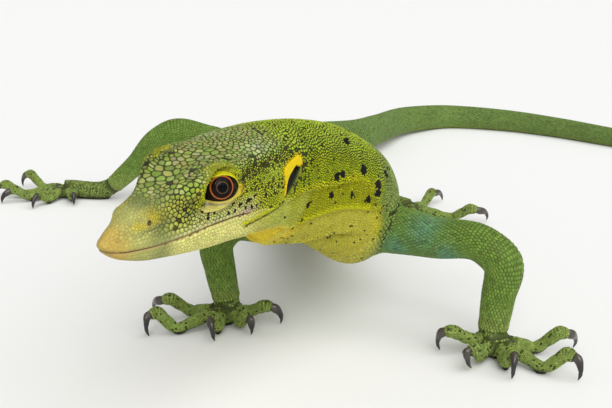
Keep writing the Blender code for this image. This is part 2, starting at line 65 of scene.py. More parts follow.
head = {
    "eyeMiddle": np.array((-24.3, 233.3, 50.2)),
    "forward": np.array((-0.570, -0.815, -0.100)),
    "leftward": np.array((0.821, -0.561, -0.110)),
    "tipToEyes": 24.5,
    "straight": 42,
    "tipRounding": 4.2,
    "tipHeight": -3.9,
    # way back, roof, brow out and up, cheek out and up, lip out and up, jaw out and up, chin
    "sections": (
        (0, -2.6, 1, -2.9, 1.8, -3.9, 2.4, -5.1, 1.7, -6.5, -7),
        (4, -1.2, 1.7, -1.8, 2.9, -3.2, 3.8, -5.3, 3.1, -7.9, -8.7),
        (8, 0.4, 2.4, -0.3, 3.8, -2, 4.9, -5.5, 4.2, -9.1, -10.2),
        (13, 2.1, 3.5, 1.4, 4.8, -1.2, 6.1, -5.8, 5.3, -9.9, -11.2),
        (18, 3.5, 5.7, 3.2, 6.4, -0.8, 7.4, -5.8, 6.4, -10.5, -11.9),
        (24, 5.1, 8.4, 5.1, 8.6, 0, 8.6, -5.5, 7.5, -11.1, -12.7),
        (30, 6, 8.8, 5.1, 9.4, 0, 9.2, -5.9, 8.2, -11.5, -13.6),
        (37, 6.7, 8.6, 5, 10, -0.4, 10, -6.3, 8.9, -12.2, -15.8),
        (44, 7, 8.2, 4.8, 10.4, -0.8, 10.4, -6.6, 9.3, -12.6, -17),
        (54, 7.2, 8.1, 4.6, 10.2, -1, 10.3, -7.2, 9.2, -13.8, -20.8),
    ),
    # way back, height, reach, rise
    "swellings": ((9, -1.3, 2.6, 0.6), (14.5, 0.2, 3.2, -0.4), (23, 5, 4.2, 0.9),
                  (36, 3.4, 3.6, -0.5), (40, -5, 6, 0.7)),
}
head["upward"] = np.cross(head["forward"], head["leftward"])

spine = {
    # place, half width, height above and depth below
    "rows": (
        (-14.33, 247.56, 51.95, 10.3, 7.2, 15.8),
        (-6.3, 259.2, 51.2, 10.4, 7.6, 20.2),
        (2.5, 272.5, 45, 10.8, 10.8, 18.4),
        (10.8, 289, 33, 12.4, 14.6, 16.2),
        (8, 312, 28.6, 12.8, 13.6, 17.4),
        (4.5, 335, 25, 14.4, 13.4, 18),
        (1.5, 365, 21.4, 14.4, 13.4, 16.2),
        (-4, 395, 18, 12.4, 12.6, 11.5),
        (-8.5, 416, 15.5, 10.6, 11, 10),
        (-5.5, 437, 13.5, 8.8, 9.5, 9.2),
        (4.5, 451.5, 12, 7.6, 8.6, 8.2),
        (17.4, 466.2, 10.8, 6.6, 7.6, 7.4),
        (28.9, 493.1, 9, 5.6, 6.4, 6.4),
        (46.6, 529.6, 6.5, 5.1, 5.8, 5.9),
        (63.9, 543, 5.1, 4.8, 5.4, 5.4),
        (88.3, 537.6, 4.7, 4.4, 4.9, 5),
        (112.4, 521.6, 4.2, 4, 4.4, 4.5),
        (130.9, 503.5, 3.8, 3.6, 4.1, 4.1),
        (165, 474, 3.2, 3, 3.5, 3.5),
        (205, 452, 2.6, 2.4, 2.8, 2.9),
        (250, 444, 2, 1.9, 2.2, 2.3),
        (295, 455, 1.5, 1.4, 1.6, 1.8),
        (335, 474, 1, 0.95, 1.05, 1.3),
        (362, 486, 0.7, 0.5, 0.5, 1),
    ),
    "keyTurns": (0, 40, 78, 112, 146, 180),
    "headEnds": (44, 62),
    "acrossTurn": 6.5,         # millimetres round the neck for one step of turn
}

eye = {
    "place": (27, 0.93, 6.3),
    "radius": 4.1,
    "lidPlace": (26.4, 1.15, 6.45),
    "lidSize": (5, 3.7, 4.3),
    "sides": 64,
    "frontCorner": (22.6, -0.3),
    "rearCorner": (29.1, 1),
    "upperArch": 3.85,
    "lowerArch": 1.1,
    "plateEdge": (0.55, 2.5),   # where plates begin above and below the opening, in millimetres
    "lidThickness": 0.26,
    "slope": 0.55,             # how steeply the lids rise from the opening
    "gaze": (0.57, 0.29, 0.77),
    "irisRadius": 2.3,
    "pupilRadius": 0.85,
}

ear = {
    # way back and height: the slit's front edge, the bare rim's outer line, the slit's rear
    "frontEdge": ((50.2, -1), (49, -0.3), (47.8, -0.8), (46, -1.7), (45.2, -2.4), (44.7, -3.3),
                  (44.5, -4.5), (44.45, -5.6)),
    "rim": ((44.15, -5.8), (44.1, -4.7), (44.3, -3.1), (44.1, -1.7), (44.1, -0.7), (44.6, 0.3),
            (46.3, 0.9), (48.2, 1.2), (50.3, 1.5), (51.3, 0.6), (51.2, -0.6)),
    "rear": ((44.7, -6.7), (46.2, -6.3), (48.1, -4.9), (49.5, -3.7), (50.8, -2.3), (51, -1.2)),
    "depth": 1.6,
    "rimRise": 0.4,
}

nostril = {"place": (8.9, -1.4), "size": (0.5, 0.26), "lean": 50.0, "depth": 0.4, "rise": 0.35}

mouth = {
    "line": ((-6, -5.5), (0, -5.6), (3.3, -5.95), (6.3, -6.2), (9.1, -6.4), (12.5, -6.5), (16.3, -6.3),
             (19.5, -6.05), (22.6, -5.8), (25.2, -5.85), (29.6, -6), (33.7, -6.3)),
    "groove": ((4.9, -3.7), (8.8, -2.9), (12, -2.8), (15.7, -2.7), (18.3, -2.3), (20.9, -2.2)),
    "crease": ((32.6, -9), (35.6, -8.6), (37.6, -8.4), (39.8, -8), (42.2, -7.8), (44.2, -7.2)),
    "depth": 0.34,
    "width": 0.14,
}

# Folds of the neck's skin: way along and turn from the top, then width, rise and the crease under it.
neckFolds = (
    {"line": ((44.8, 3.1), (48, 3.04), (52.2, 2.85), (59, 2.77), (64.4, 2.67), (69.4, 2.52),
              (78.4, 2.23)), "width": 0.55, "rise": 0.4, "crease": 0.6, "under": 1},
    {"line": ((34.4, 3.95), (41.8, 4.09), (51, 4.05), (58.6, 3.73), (62.2, 3.57), (65.2, 3.45),
              (69.6, 3.28), (74.4, 3.13), (79.8, 2.96), (83.8, 2.83), (87.8, 2.64), (90.4, 2.32)),
     "width": 0.5, "rise": 0.45, "crease": 0.5, "under": 0.9},
    {"line": ((46, 4.8), (54, 4.85), (61, 4.85), (66.4, 4.85), (69.8, 4.6), (72.2, 4.29),
              (74.8, 4.02), (78, 3.81), (81.2, 3.69), (83.6, 3.54), (87.6, 3.48)),
     "width": 0.9, "rise": 0.8, "crease": 1.7, "under": 1.6},
)

limbs = {
    "arm_left": ((8, 291, 25.8, 8), (20, 288.3, 25.6, 6.6), (31.6, 279.6, 25.6, 5.2),
                 (42.2, 272, 26, 4.7), (46.3, 269.4, 22.6, 4.9), (45.6, 269.3, 14, 4.2),
                 (44.8, 269.7, 6.6, 3.9)),
    "arm_right": ((12, 292, 26.6, 8.4), (0.5, 290, 27.6, 6.4), (-9, 287.2, 27.2, 5.4),
                  (-18.6, 288.4, 26.2, 4.5), (-22.4, 289.6, 21.6, 4.5), (-21.8, 290.4, 14, 4.1),
                  (-20.5, 291, 6.6, 3.8)),
    "leg_left": ((-6, 416, 15, 6), (2, 411, 16, 6), (10, 399, 17.8, 5.4),
                 (15.6, 389, 21, 4.8), (20.6, 385.2, 20.4, 4.4), (23, 388.6, 14.8, 4.2),
                 (23.8, 393.6, 9.6, 3.8), (25, 399, 5.4, 3.4)),
    "leg_right": ((-9, 416, 15, 6), (-19, 413.6, 16.4, 6), (-34, 409, 22.6, 5.2),
                  (-46.2, 406.2, 25.8, 4.6), (-51, 406.4, 23.2, 4.4), (-59.4, 409.6, 13.8, 3.8),
                  (-67.6, 413.2, 5.8, 3.4)),
}

palms = {
    "hand_left": ((45.8, 267.4, 2.3), 4.6, 2.9),
    "hand_right": ((-20.9, 289.6, 2.3), 4.5, 2.9),
    "foot_left": ((34.6, 390.2, 2.3), 4.2, 2.6),
    "foot_right": ((-86, 416.6, 2.3), 4.4, 2.6),
}
limbOf = {"hand_left": "arm_left", "hand_right": "arm_right",
          "foot_left": "leg_left", "foot_right": "leg_right"}

# Digits, first to fifth: root, pad on the floor, arched last joint, claw's tip.
digits = {
    "hand_left": (
        ((43, 268.6, 3.4), (38.6, 268.4, 4), (34.6, 267.2, 6.2), (32.2, 269.9, 0.4)),
        ((43.4, 266.4, 3), (41, 262.4, 2), (38.9, 257.8, 5.4), (38.2, 258, 0.6)),
        ((46, 264.6, 3), (46.2, 258.4, 1.4), (47, 255.9, 5.6), (46.6, 252.4, 0.4)),
        ((47.6, 265, 3.2), (54.6, 256.2, 1.4), (59.4, 253.6, 5.8), (61.5, 251.6, 0.4)),
        ((48.4, 267.8, 3.4), (54.6, 268.6, 1.4), (60.4, 266.7, 6), (64.6, 271.4, 0.4)),
    ),
    "hand_right": (
        ((-18.4, 289.6, 3.4), (-14.2, 288.4, 3.6), (-10.2, 286.5, 5.6), (-6.5, 287.7, 0.4)),
        ((-18.6, 288.2, 3), (-16.6, 284.4, 2), (-15, 281.2, 5), (-13.7, 279.8, 0.4)),
        ((-21.4, 287.4, 3), (-22, 281.4, 1.4), (-23.2, 279, 5.4), (-22.4, 275.6, 0.4)),
        ((-23.4, 287.8, 3.2), (-32.4, 281.4, 1.4), (-37.2, 280.9, 5.8), (-38.9, 278.9, 0.4)),
        ((-23.8, 290, 3.4), (-29.6, 293.8, 1.6), (-35, 290.6, 6), (-39.2, 296.4, 0.4)),
    ),
    "foot_left": (
        ((32.8, 388.8, 3), (28.8, 385.2, 1.4), (25.4, 382.6, 3.6), (22.4, 380.6, 0.4)),
        ((33.6, 388, 3), (32, 380.4, 1.4), (31.4, 376.2, 4.2), (30.6, 372.4, 0.4)),
        ((35.4, 387.8, 3), (36.6, 378.6, 1.4), (37.4, 373.8, 4.4), (38.2, 369.4, 0.4)),
        ((37.2, 389.2, 3), (48, 384.6, 1.4), (54.4, 379.8, 5.6), (60, 384.6, 0.4)),
        ((36.4, 392.2, 3), (40, 399, 1.4), (43.6, 403.4, 5), (48.2, 410.4, 0.4)),
    ),
    "foot_right": (
        ((-85, 414.6, 3), (-82.6, 410.4, 1.4), (-81.6, 407.4, 3.8), (-81, 404.2, 0.4)),
        ((-87.6, 414.2, 3), (-90.4, 407.4, 1.4), (-92.4, 403.6, 4.4), (-94.2, 399.8, 0.4)),
        ((-89, 415.6, 3), (-97.6, 410.8, 1.4), (-102.4, 408.8, 4.6), (-106.6, 406.8, 0.4)),
        ((-89.2, 417.2, 3), (-100.4, 415.8, 1.4), (-107.6, 416.6, 4.6), (-112.6, 417.4, 0.4)),
        ((-88.2, 418.8, 3), (-95.6, 425, 1.4), (-101.2, 428.4, 5.6), (-104.8, 431.2, 0.4)),
    ),
}
digitShape = {"radii": (1.95, 1.6, 1.75, 1.35), "claw": (1.2, 0.95, 0.22), "lastJoint": (1.4, 0.35),
              "gap": 0.3}

skinShape = {
    "coatDepth": 0.3,
    "bodyStep": 2,
    "bodyColumns": 40,
    "limbSides": 36,
    "digitSides": 14,
    "junctionRounds": 14,
}


# Curves through rows, and small vector helps

def between(rows, at):
    rows = np.array(rows, float)
    place, value = rows[:, 0], rows[:, 1:]
    slope = np.gradient(value, place, axis=0)
    at = np.asarray(at, float)
    low = np.clip(np.searchsorted(place, at) - 1, 0, len(place) - 2)
    step = (place[low + 1] - place[low])[..., None]
    t = np.clip(((at - place[low]) / step[..., 0])[..., None], 0, 1)
    start = value[low] * (1 + 2 * t) * (1 - t) ** 2 + slope[low] * step * t * (1 - t) ** 2
    end = value[low + 1] * t * t * (3 - 2 * t) + slope[low + 1] * step * t * t * (t - 1)
    return start + end


def ease(low, high, value):
    t = np.clip((value - low) / (high - low), 0, 1)
    return t * t * (3 - 2 * t)


def along(points):
    points = np.array(points, float)
    steps = np.linalg.norm(np.diff(points[:, :3], axis=0), axis=1)
    return np.column_stack((np.concatenate(((0.0,), np.cumsum(steps))), points))


def unit(vectors):
    return vectors / np.maximum(np.linalg.norm(vectors, axis=-1, keepdims=True), 1e-12)


def bell(value, reach):
    return np.exp(-(value / reach) ** 2)


def nearby(places):
    # A tree that finds the nearest of many places.
    tree = kdtree.KDTree(len(places))
    for number, place in enumerate(places):
        tree.insert(place, number)
    tree.balance()
    return tree


def alongLine(points, line, scale=1.0, stretch=1.0):
    # Distance to a line of points, which side of it, the share along it and the nearest place.
    line = np.array(line, float)
    best, place = np.full(len(points), 1e9), points
    side, share = np.zeros(len(points)), np.zeros(len(points))
    lengths = np.hypot(np.diff(line[:, 0]), np.diff(line[:, 1]) * stretch)
    done = 0.0
    for start, end, length in zip(line, line[1:], lengths):
        x, y = points[:, 0] - start[0], (points[:, 1] - start[1]) * scale
        dx, dy = end[0] - start[0], (end[1] - start[1]) * scale
        t = np.clip((x * dx + y * dy) / (dx * dx + dy * dy), 0, 1)
        distance = np.hypot(x - t * dx, y - t * dy)
        nearer = distance < best
        best = np.where(nearer, distance, best)
        side = np.where(nearer, np.sign(dx * y - dy * x), side)
        share = np.where(nearer, (done + t * length) / lengths.sum(), share)
        place = np.where(nearer[:, None], start + t[:, None] * (end - start), place)
        done += length
    return best, side, share, place


def lineDistance(back, up, line):
    return alongLine(np.column_stack((back, up)), line)[:3]


def insideDepth(back, up, corners):
    # Distance inside a closed outline, and less than 0 outside it.
    closed = corners + corners[:1]
    inside = np.zeros(len(back), bool)
    for (x, y), (otherX, otherY) in zip(closed, closed[1:]):
        at = x + (up - y) * (otherX - x) / ((otherY - y) or 1e-9)
        inside ^= ((y > up) != (otherY > up)) & (back < at)
    return lineDistance(back, up, closed)[0] * np.where(inside, 1, -1)


def earDepths(back, up, out):
    # Distances inside the bare rim before the ear's slit and inside the slit.
    return [insideDepth(back, up, ear["frontEdge"] + ear[name]) - 99.0 * (abs(out) < 5)
            for name in ("rim", "rear")]


def acrossLength(way):
    # Millimetres along the skin for one step of turn.
    return between(acrossTable, np.clip(way, acrossTable[0, 0], acrossTable[-1, 0]))[..., 0]


def foldDistance(way, turn, line):
    # The same in millimetres for a line given by way and turn, for both sides alike.
    fold = np.where(turn > 5, 10 - turn, turn)
    return alongLine(np.column_stack((way, fold)), line, acrossLength(way), spine["acrossTurn"])[:3]


# The body's surface

spineWays = along(spine["rows"])
spineWays[:, 0] += head["straight"]
tailEnd = spineWays[-1, 0]


def spineFrame(way):
    straight = np.array((-10.0, 12.0, head["straight"] - 8.0))
    lead = head["eyeMiddle"] + head["forward"] * (head["tipToEyes"] - straight)[:, None]
    rows = np.vstack((np.column_stack((straight, lead)), spineWays[:, :4]))
    place = between(rows, way)
    back = unit(between(rows, way + 0.4) - between(rows, way - 0.4))
    level = ease(head["straight"], 90, way)[:, None]
    up = unit(head["upward"] * (1 - level) + np.array((0, 0, 1)) * level)
    left = unit(np.cross(up, -back))
    return place, left, np.cross(-back, left)


def sectionKeys(way):
    row = between(head["sections"], way)
    nothing = 0 * row[:, 0]
    headOut = np.stack((nothing, row[:, 1], row[:, 3], row[:, 5], row[:, 7], nothing), 1)
    headUp = np.stack((row[:, 0], row[:, 2], row[:, 4], row[:, 6], row[:, 8], row[:, 9]), 1)
    blunt = np.clip((way + 0.4) / head["tipRounding"], 0, 1)[:, None]
    blunt = np.sqrt(1 - (1 - blunt) ** 2)
    headOut = headOut * blunt
    headUp = head["tipHeight"] + (headUp - head["tipHeight"]) * blunt
    size = between(spineWays[:, (0, 4, 5, 6)], way)
    turn = np.radians(spine["keyTurns"])
    bodyOut = size[:, :1] * np.sin(turn)
    bodyUp = np.where(np.cos(turn) > 0, size[:, 1:2], size[:, 2:3]) * np.cos(turn)
    share = ease(*spine["headEnds"], way)[:, None]
    out = headOut * (1 - share) + bodyOut * share
    up = headUp * (1 - share) + bodyUp * share
    keys = np.stack((out, up), 2)
    return np.concatenate((keys, keys[:, 4:0:-1] * np.array((-1.0, 1.0))), 1)


def bodyPoint(way, turn):
    # Turn runs from 0 at the top over 5 at the belly to 10, first down the left side.
    keys = sectionKeys(way)
    row = np.arange(len(way))
    low = np.floor(turn).astype(int)
    before, start, end, after = (keys[row, (low + step) % 10] for step in (-1, 0, 1, 2))
    t = (turn - low)[:, None]
    leave, arrive = (end - before) / 2, (after - start) / 2
    section = (start * (1 + 2 * t) * (1 - t) ** 2 + leave * t * (1 - t) ** 2
               + end * t * t * (3 - 2 * t) + arrive * t * t * (t - 1))
    swell = np.zeros(len(way))
    for back, up, reach, rise in head["swellings"]:
        swell += rise * np.exp(-((way - back) ** 2 + (section[:, 1] - up) ** 2) / reach ** 2)
    section[:, 0] += swell * np.sign(section[:, 0]) * ease(1, 4, abs(section[:, 0]))
    place, left, up = spineFrame(way)
    return place + left * section[:, :1] + up * section[:, 1:]


def measureAcross():
    ways = np.concatenate((np.arange(-0.3, 60.0, 3.0), np.arange(62.0, tailEnd, 12.0)))
    turns = np.arange(0, 10, 0.1)
    rows = []
    for way in ways:
        ring = bodyPoint(np.full(len(turns), way), turns)
        rows.append((way, np.linalg.norm(ring - np.roll(ring, 1, 0), axis=1).sum() / 10))
    return np.array(rows)


acrossTable = measureAcross()


def bodyNormal(way, turn):
    lengthwise = bodyPoint(way + 0.05, turn) - bodyPoint(way - 0.05, turn)
    around = bodyPoint(way, turn + 0.01) - bodyPoint(way, turn - 0.01)
    return unit(np.cross(around, lengthwise))


def headPlace(back, up, out):
    return (head["eyeMiddle"] + head["forward"] * (head["tipToEyes"] - back) + head["upward"] * up
            + head["leftward"] * out)


def headCoordinates(points):
    away = points - head["eyeMiddle"]
    return (head["tipToEyes"] - away @ head["forward"], away @ head["upward"],
            away @ head["leftward"])


def lidCorners():
    # The middle between the corners of the lids, half their distance and the way between them.
    front, rear = np.array(eye["frontCorner"]), np.array(eye["rearCorner"])
    half = np.linalg.norm(rear - front) / 2
    return (front + rear) / 2, half, (rear - front) / (2 * half)


def eyeShape(back, up):
    # Below 1 inside the opening between the lids, and the height above its corners' line.
    middle, half, ahead = lidCorners()
    lengthwise = (back - middle[0]) * ahead[0] + (up - middle[1]) * ahead[1]
    height = (up - middle[1]) * ahead[0] - (back - middle[0]) * ahead[1]
    arch = np.where(height > 0, eye["upperArch"], eye["lowerArch"])
    return np.hypot(lengthwise / half, height / arch), height


def nostrilRing(back, up):
    lean = math.radians(nostril["lean"])
    aside = (back - nostril["place"][0]) * math.cos(lean) + (up - nostril["place"][1]) * math.sin(lean)
    over = (up - nostril["place"][1]) * math.cos(lean) - (back - nostril["place"][0]) * math.sin(lean)
    return np.hypot(aside / nostril["size"][0], over / nostril["size"][1])


def eyeBall(back, up):
    # How far out the eyeball's face stands.
    place = eye["place"]
    left = eye["radius"] ** 2 - (back - place[0]) ** 2 - (up - place[1]) ** 2
    return place[2] + np.sqrt(np.maximum(left, 0.0))


def relief(way, turn, points, normals):
    # Everything that the sections are too coarse for: lips, lids, nostrils, ears, folds.
    back, up, out = headCoordinates(points)
    side = np.sign(out)
    rise = np.zeros(len(points))
    onHead = way < 60
    # brow ridge down to the nostril, and the hollow between the brows
    brow = ((8, 2.6), (14, 3.6), (19, 6.2), (26, 8.2), (31, 8.3))
    ridge = lineDistance(back, abs(out), brow)[0]
    rise += 0.45 * bell(ridge, 1.1) * ease(6, 12, back) * (up > -1.5)
    rise -= 0.45 * np.exp(-(out / 1.9) ** 2 - ((back - 21.0) / 6.0) ** 2) * (up > 0)
    rise += 0.5 * np.exp(-((abs(out) - 5.6) / 2.2) ** 2 - ((back - 25.0) / 4.2) ** 2) * (up > 3)
    # lips and the line of the mouth
    distance, above, share = lineDistance(back, up, mouth["line"])
    open_ = ease(1, 0.9, share) * onHead
    rise += 0.16 * bell(distance - 0.9, 0.7) * open_ * (above > 0)
    rise += 0.10 * bell(distance - 0.8, 0.6) * open_ * (above < 0)
    rise -= mouth["depth"] * bell(distance, mouth["width"]) * open_
    distance, _, share = lineDistance(back, up, mouth["groove"])
    rise -= 0.14 * bell(distance, 0.3) * ease(0, 0.2, share) * onHead
    # the crease behind the jaw
    distance, above, share = lineDistance(back, up, mouth["crease"])
    ends = ease(0, 0.1, share) * ease(1, 0.9, share) * onHead
    rise -= 0.6 * bell(distance, 0.26) * ends
    rise += 0.4 * bell(distance - 0.8, 0.7) * ends * (above > 0)
    # the nostril's swelling and pit
    ring = nostrilRing(back, up)
    swell = np.hypot(back - nostril["place"][0], up - nostril["place"][1])
    rise += nostril["rise"] * bell(swell, 1.7) * onHead
    rise += 0.16 * bell(ring - 1.6, 0.45) * onHead
    rise -= nostril["depth"] * ease(1.15, 0.55, ring) * onHead
    # the ear: a raised bare rim before a slit
    rim, slit = earDepths(back, up, out)
    rise += ear["rimRise"] * ease(-0.5, 0.4, rim) * ease(0.1, -0.1, slit)
    rise -= ear["depth"] * ease(-0.05, 0.8, slit)
    # folds of the neck, the same on both sides
    for fold in neckFolds:
        distance, below, share = foldDistance(way, turn, fold["line"])
        ends = ease(0, 0.14, share) * ease(1, 0.86, share)
        rise += fold["rise"] * bell(distance, fold["width"]) * ends
        rise -= (fold["crease"] * ease(0.4, 0.4 + fold["under"], distance)
                 * bell(distance, 2.6 * fold["under"]) * 1.4 * ends * (below > 0))
    # fine ribs across the throat's band
    ribs = throatBand(way, turn) * ease(40, 48, way) * ease(86, 78, way)
    rise += 0.08 * np.cos(way * 2 * math.pi / 0.95) * ribs
    points = points + normals * (rise - skinShape["coatDepth"] * (1 - coatFree(back, up, out)))[:, None]
    # the lids and the socket move the skin straight out or in
    back, up, out = headCoordinates(points)
    shape, _ = eyeShape(back, up)
    level, over = lidLevel(back, up)
    place, size, ballPlace = eye["lidPlace"], eye["lidSize"], eye["place"]
    room = 1 - ((back - place[0]) / size[0]) ** 2 - ((up - place[1]) / size[1]) ** 2
    lid = place[2] + (size[2] - 0.35) * np.sqrt(np.maximum(room, 0.0))
    flatOut = abs(out)
    blended = np.where(room > 0, smoothTop(flatOut, lid, 0.5), flatOut)
    ball = eyeBall(back, up)
    margin = np.maximum(ball + eye["lidThickness"], ballPlace[2] + 0.45)
    beyond, edge, _ = lidDistance(back, up)
    toLid = ease(0, 1, beyond / np.maximum(edge, 0.9))
    steep = 9.0 * ease(1, 4.5, beyond)
    blended = np.minimum(blended, margin + 0.15 + eye["slope"] * np.maximum(beyond, 0) + steep)
    blended = np.maximum(blended, ball + 0.2)
    blended = margin * (1 - toLid) + blended * toLid
    ridges = 0.16 * bell(level - 0.35, 0.3) - 0.2 * bell(level - 1.05, 0.22)
    ridges = ridges * over + (1 - over) * (0.14 * bell(level - 0.2, 0.16)
                                           - 0.16 * bell(level - 0.46, 0.08)
                                           + 0.12 * bell(level - 0.75, 0.16)
                                           - 0.2 * bell(level - 1.05, 0.1))
    blended += ridges * (level > 0)
    sunk = np.minimum(ball - 0.7, ballPlace[2] + 2.4)
    inside = ease(1, 0.88, shape)
    blended = blended * (1 - inside) + sunk * inside
    distance = np.hypot(back - place[0], up - place[1])
    near = (distance < 7) & (way < 42) & (up > -4.8)
    shift = np.where(near, blended - flatOut, 0.0)
    shift *= ease(7, 6, distance) * ease(5.6, 7, flatOut)
    points = points + head["leftward"] * (shift * side)[:, None]
    points[:, 2] = np.maximum(points[:, 2], ground["floor"])
    return points


def throatBand(way, turn):
    # 1 between the second and third folds, the smooth yellow band of the throat.
    over, under = (foldDistance(way, turn, neckFolds[number]["line"]) for number in (1, 2))
    return (ease(0, 0.6, over[0]) * ease(-0.4, 0.8, -under[0] * under[1])
            * (over[1] > 0) * ease(30, 38, way))


def lidDistance(back, up):
    # Millimetres beyond the opening between the lids, how wide the bare lid is there, 1 for above.
    shape, height = eyeShape(back, up)
    step = 0.03
    slope = np.hypot(eyeShape(back + step, up)[0] - shape, eyeShape(back, up + step)[0] - shape) / step
    over = ease(-0.7, 0.3, height)
    middle, half, _ = lidCorners()
    corner = ease(0.5, 1.2, np.hypot(back - middle[0], up - middle[1]) / half)
    above, below = eye["plateEdge"]
    below = below * (1 - 0.25 * corner)
    return (shape - 1) / np.maximum(slope, 0.05), below + (above - below) * over, over


def lidLevel(back, up):
    # 0 at the opening between the lids and 1 where the plates begin, and 1 above or 0 below.
    distance, edge, over = lidDistance(back, up)
    return distance / edge, over


def smoothTop(first, second, soft):
    # The larger of two heights with a rounded change from one to the other.
    mix = np.clip(0.5 + 0.5 * (first - second) / soft, 0, 1)
    return second * (1 - mix) + first * mix + soft * mix * (1 - mix)


def coatFree(back, up, out):
    # 1 where the skin carries no scales: lids, lips' edge, the ear's inside.
    return ease(1.3, 1, lidLevel(back, up)[0]) * (abs(out) > 6) * (up > -4.8)


def bodySurface(way, turn):
    points = bodyPoint(way, turn)
    return relief(way, turn, points, bodyNormal(way, turn))


# The skin: cells along and round the body, split where the shape is fine

def cellLevels(way, turn):
    # How often a cell of the coarse net is halved at a way and turn.
    points = bodyPoint(way, turn)
    back, up, out = headCoordinates(points)
    level = np.where(way < 100, 1, 0)
    folds = np.minimum(*(foldDistance(way, turn, fold["line"])[0] for fold in neckFolds[:2]))
    level = np.where((way < 56) | ((way < 92) & (folds < 4)), 2, level)
    onHead = way < 58
    aside = abs(out) > 4.5
    mouthDistance = lineDistance(back, up, mouth["line"])[0]
    creaseDistance = lineDistance(back, up, mouth["crease"])[0]
    earDistance = lineDistance(back, up, ear["frontEdge"])[0]
    nostrilDistance = np.hypot(back - nostril["place"][0], up - nostril["place"][1])
    lid, _ = lidLevel(back, up)
    nearEye = aside & (up > -4.5) & (way < 40)
    for wanted, here in ((3, (nearEye & (lid < 1.6)) | (aside & (earDistance < 3.2))),
                         (3, (mouthDistance < 0.9) & (back < 34.5)),
                         (3, (creaseDistance < 0.8) & aside),
                         (4, nearEye & (lid < 1.1) & (lid > -0.35)),
                         (4, (earDistance < 0.9) & aside),
                         (4, (mouthDistance < 0.3) & (back < 34.5)),
                         (4, (nostrilDistance < 1.5) & (abs(out) > 1.5))):
        level = np.where(onHead & here, wanted, level)
    return level


def splitCells():
    # Leaf cells as (way, turn, size), in steps of the finest net.
    finest = 4
    unitSize = 2 ** finest
    rows = int((tailEnd + 0.36) / skinShape["bodyStep"])
    columns = skinShape["bodyColumns"]
    grid = np.array([(i * unitSize, j * unitSize) for i in range(rows) for j in range(columns)])
    leaves = []
    size = unitSize
    for level in range(finest + 1):
        way, turn = cellPlace(grid[:, 0] + size / 2, grid[:, 1] + size / 2, rows)
        wanted = cellLevels(way, turn)
        for corner in ((0.05, 0.05), (0.95, 0.05), (0.05, 0.95), (0.95, 0.95)):
            if level < 3:
                cornerWay, cornerTurn = cellPlace(grid[:, 0] + size * corner[0],
                                                  grid[:, 1] + size * corner[1], rows)
                wanted = np.maximum(wanted, cellLevels(cornerWay, cornerTurn))
        keep = wanted <= level
        leaves += [(cell[0], cell[1], size) for cell in grid[keep]]
        grid = grid[~keep]
        size //= 2
        if level < finest:
            grid = np.concatenate([grid + np.array(step) * size
                                   for step in ((0, 0), (1, 0), (0, 1), (1, 1))])
    leaves += [(cell[0], cell[1], 1) for cell in grid] if size >= 1 and level < finest else []
    return leaves, rows, unitSize


def cellPlace(i, j, rows):
    unitSize = 16.0
    way = -0.36 + i / unitSize * (tailEnd + 0.36) / rows
    return way, j / unitSize * 10.0 / skinShape["bodyColumns"]


def bodyMesh():
    leaves, rows, unitSize = splitCells()
    columns = skinShape["bodyColumns"] * unitSize
    used = {}
    for i, j, size in leaves:
        for di, dj in ((0, 0), (size, 0), (size, size), (0, size)):
            used.setdefault((i + di, (j + dj) % columns), len(used))
    faces = []
    for i, j, size in leaves:
        rising, falling = range(size), range(size, 0, -1)
        outline = [(i, j + step) for step in rising] + [(i + step, j + size) for step in rising]
        outline += [(i + size, j + step) for step in falling] + [(i + step, j) for step in falling]
        corners = [used[(a, b % columns)] for a, b in outline if (a, b % columns) in used]
        faces.append(corners)
    keys = np.array(list(used))
    way, turn = cellPlace(keys[:, 0], keys[:, 1], rows)
    points = bodySurface(way, turn)
    for row, flip in ((0, False), (rows * unitSize, True)):
        ring = sorted((b, used[(a, b)]) for a, b in used if a == row)
        ring = [number for _, number in ring]
        faces.append(ring[::-1] if flip else ring)
    return points, faces, way, turn


def tubeFrames(points, shares, sides):
    # Rings of a round tube through rows of place and radius, with the direction along it.
    rows = along(points)
    ways = shares * rows[-1, 0]
    row = between(rows, ways)
    step = 0.01 * rows[-1, 0]
    back = unit(between(rows, ways + step)[:, :3] - between(rows, ways - step)[:, :3])
    side = unit(np.cross(back[0], np.array((0.31, 0.52, 0.79))))
    turns = np.arange(sides) * 2 * math.pi / sides
    rings = []
    for middle, radius, direction in zip(row[:, :3], row[:, 3], back):
        side = unit(side - direction * np.dot(side, direction))
        other = np.cross(direction, side)
        rings.append(middle + radius * (np.outer(np.cos(turns), side) + np.outer(np.sin(turns), other)))
    return np.array(rings), ways, back, row[:, 3]


def loftFaces(count, sides):
    faces = []
    for i in range(count - 1):
        for j in range(sides):
            k = (j + 1) % sides
            faces.append((i * sides + j, i * sides + k, (i + 1) * sides + k, (i + 1) * sides + j))
    faces.append(tuple(range(sides))[::-1])
    faces.append(tuple((count - 1) * sides + j for j in range(sides)))
    return faces


def inMetres(places):
    return (np.asarray(places) - ground["footprintMiddle"]) * ground["millimetre"]


def linked(name, data):
    made = bpy.data.objects.new(name, data)
    bpy.context.scene.collection.objects.link(made)
    return made


def meshObject(name, points, faces, scaled=True):
    mesh = bpy.data.meshes.new(name)
    points = inMetres(points) if scaled else points
    mesh.from_pydata([tuple(point) for point in points], [], [tuple(int(i) for i in face) for face in faces])
    mesh.update()
    return linked(name, mesh)


def outward(body):
    shell = bmesh.new()
    shell.from_mesh(body.data)
    shell.normal_update()
    bmesh.ops.recalc_face_normals(shell, faces=shell.faces)
    shell.to_mesh(body.data)
    shell.free()
    return body


def setVector(mesh, name, values, kind="FLOAT_VECTOR"):
    layer = mesh.attributes.new(name, kind, "POINT")
    layer.data.foreach_set("vector", values.astype(np.float32).ravel())


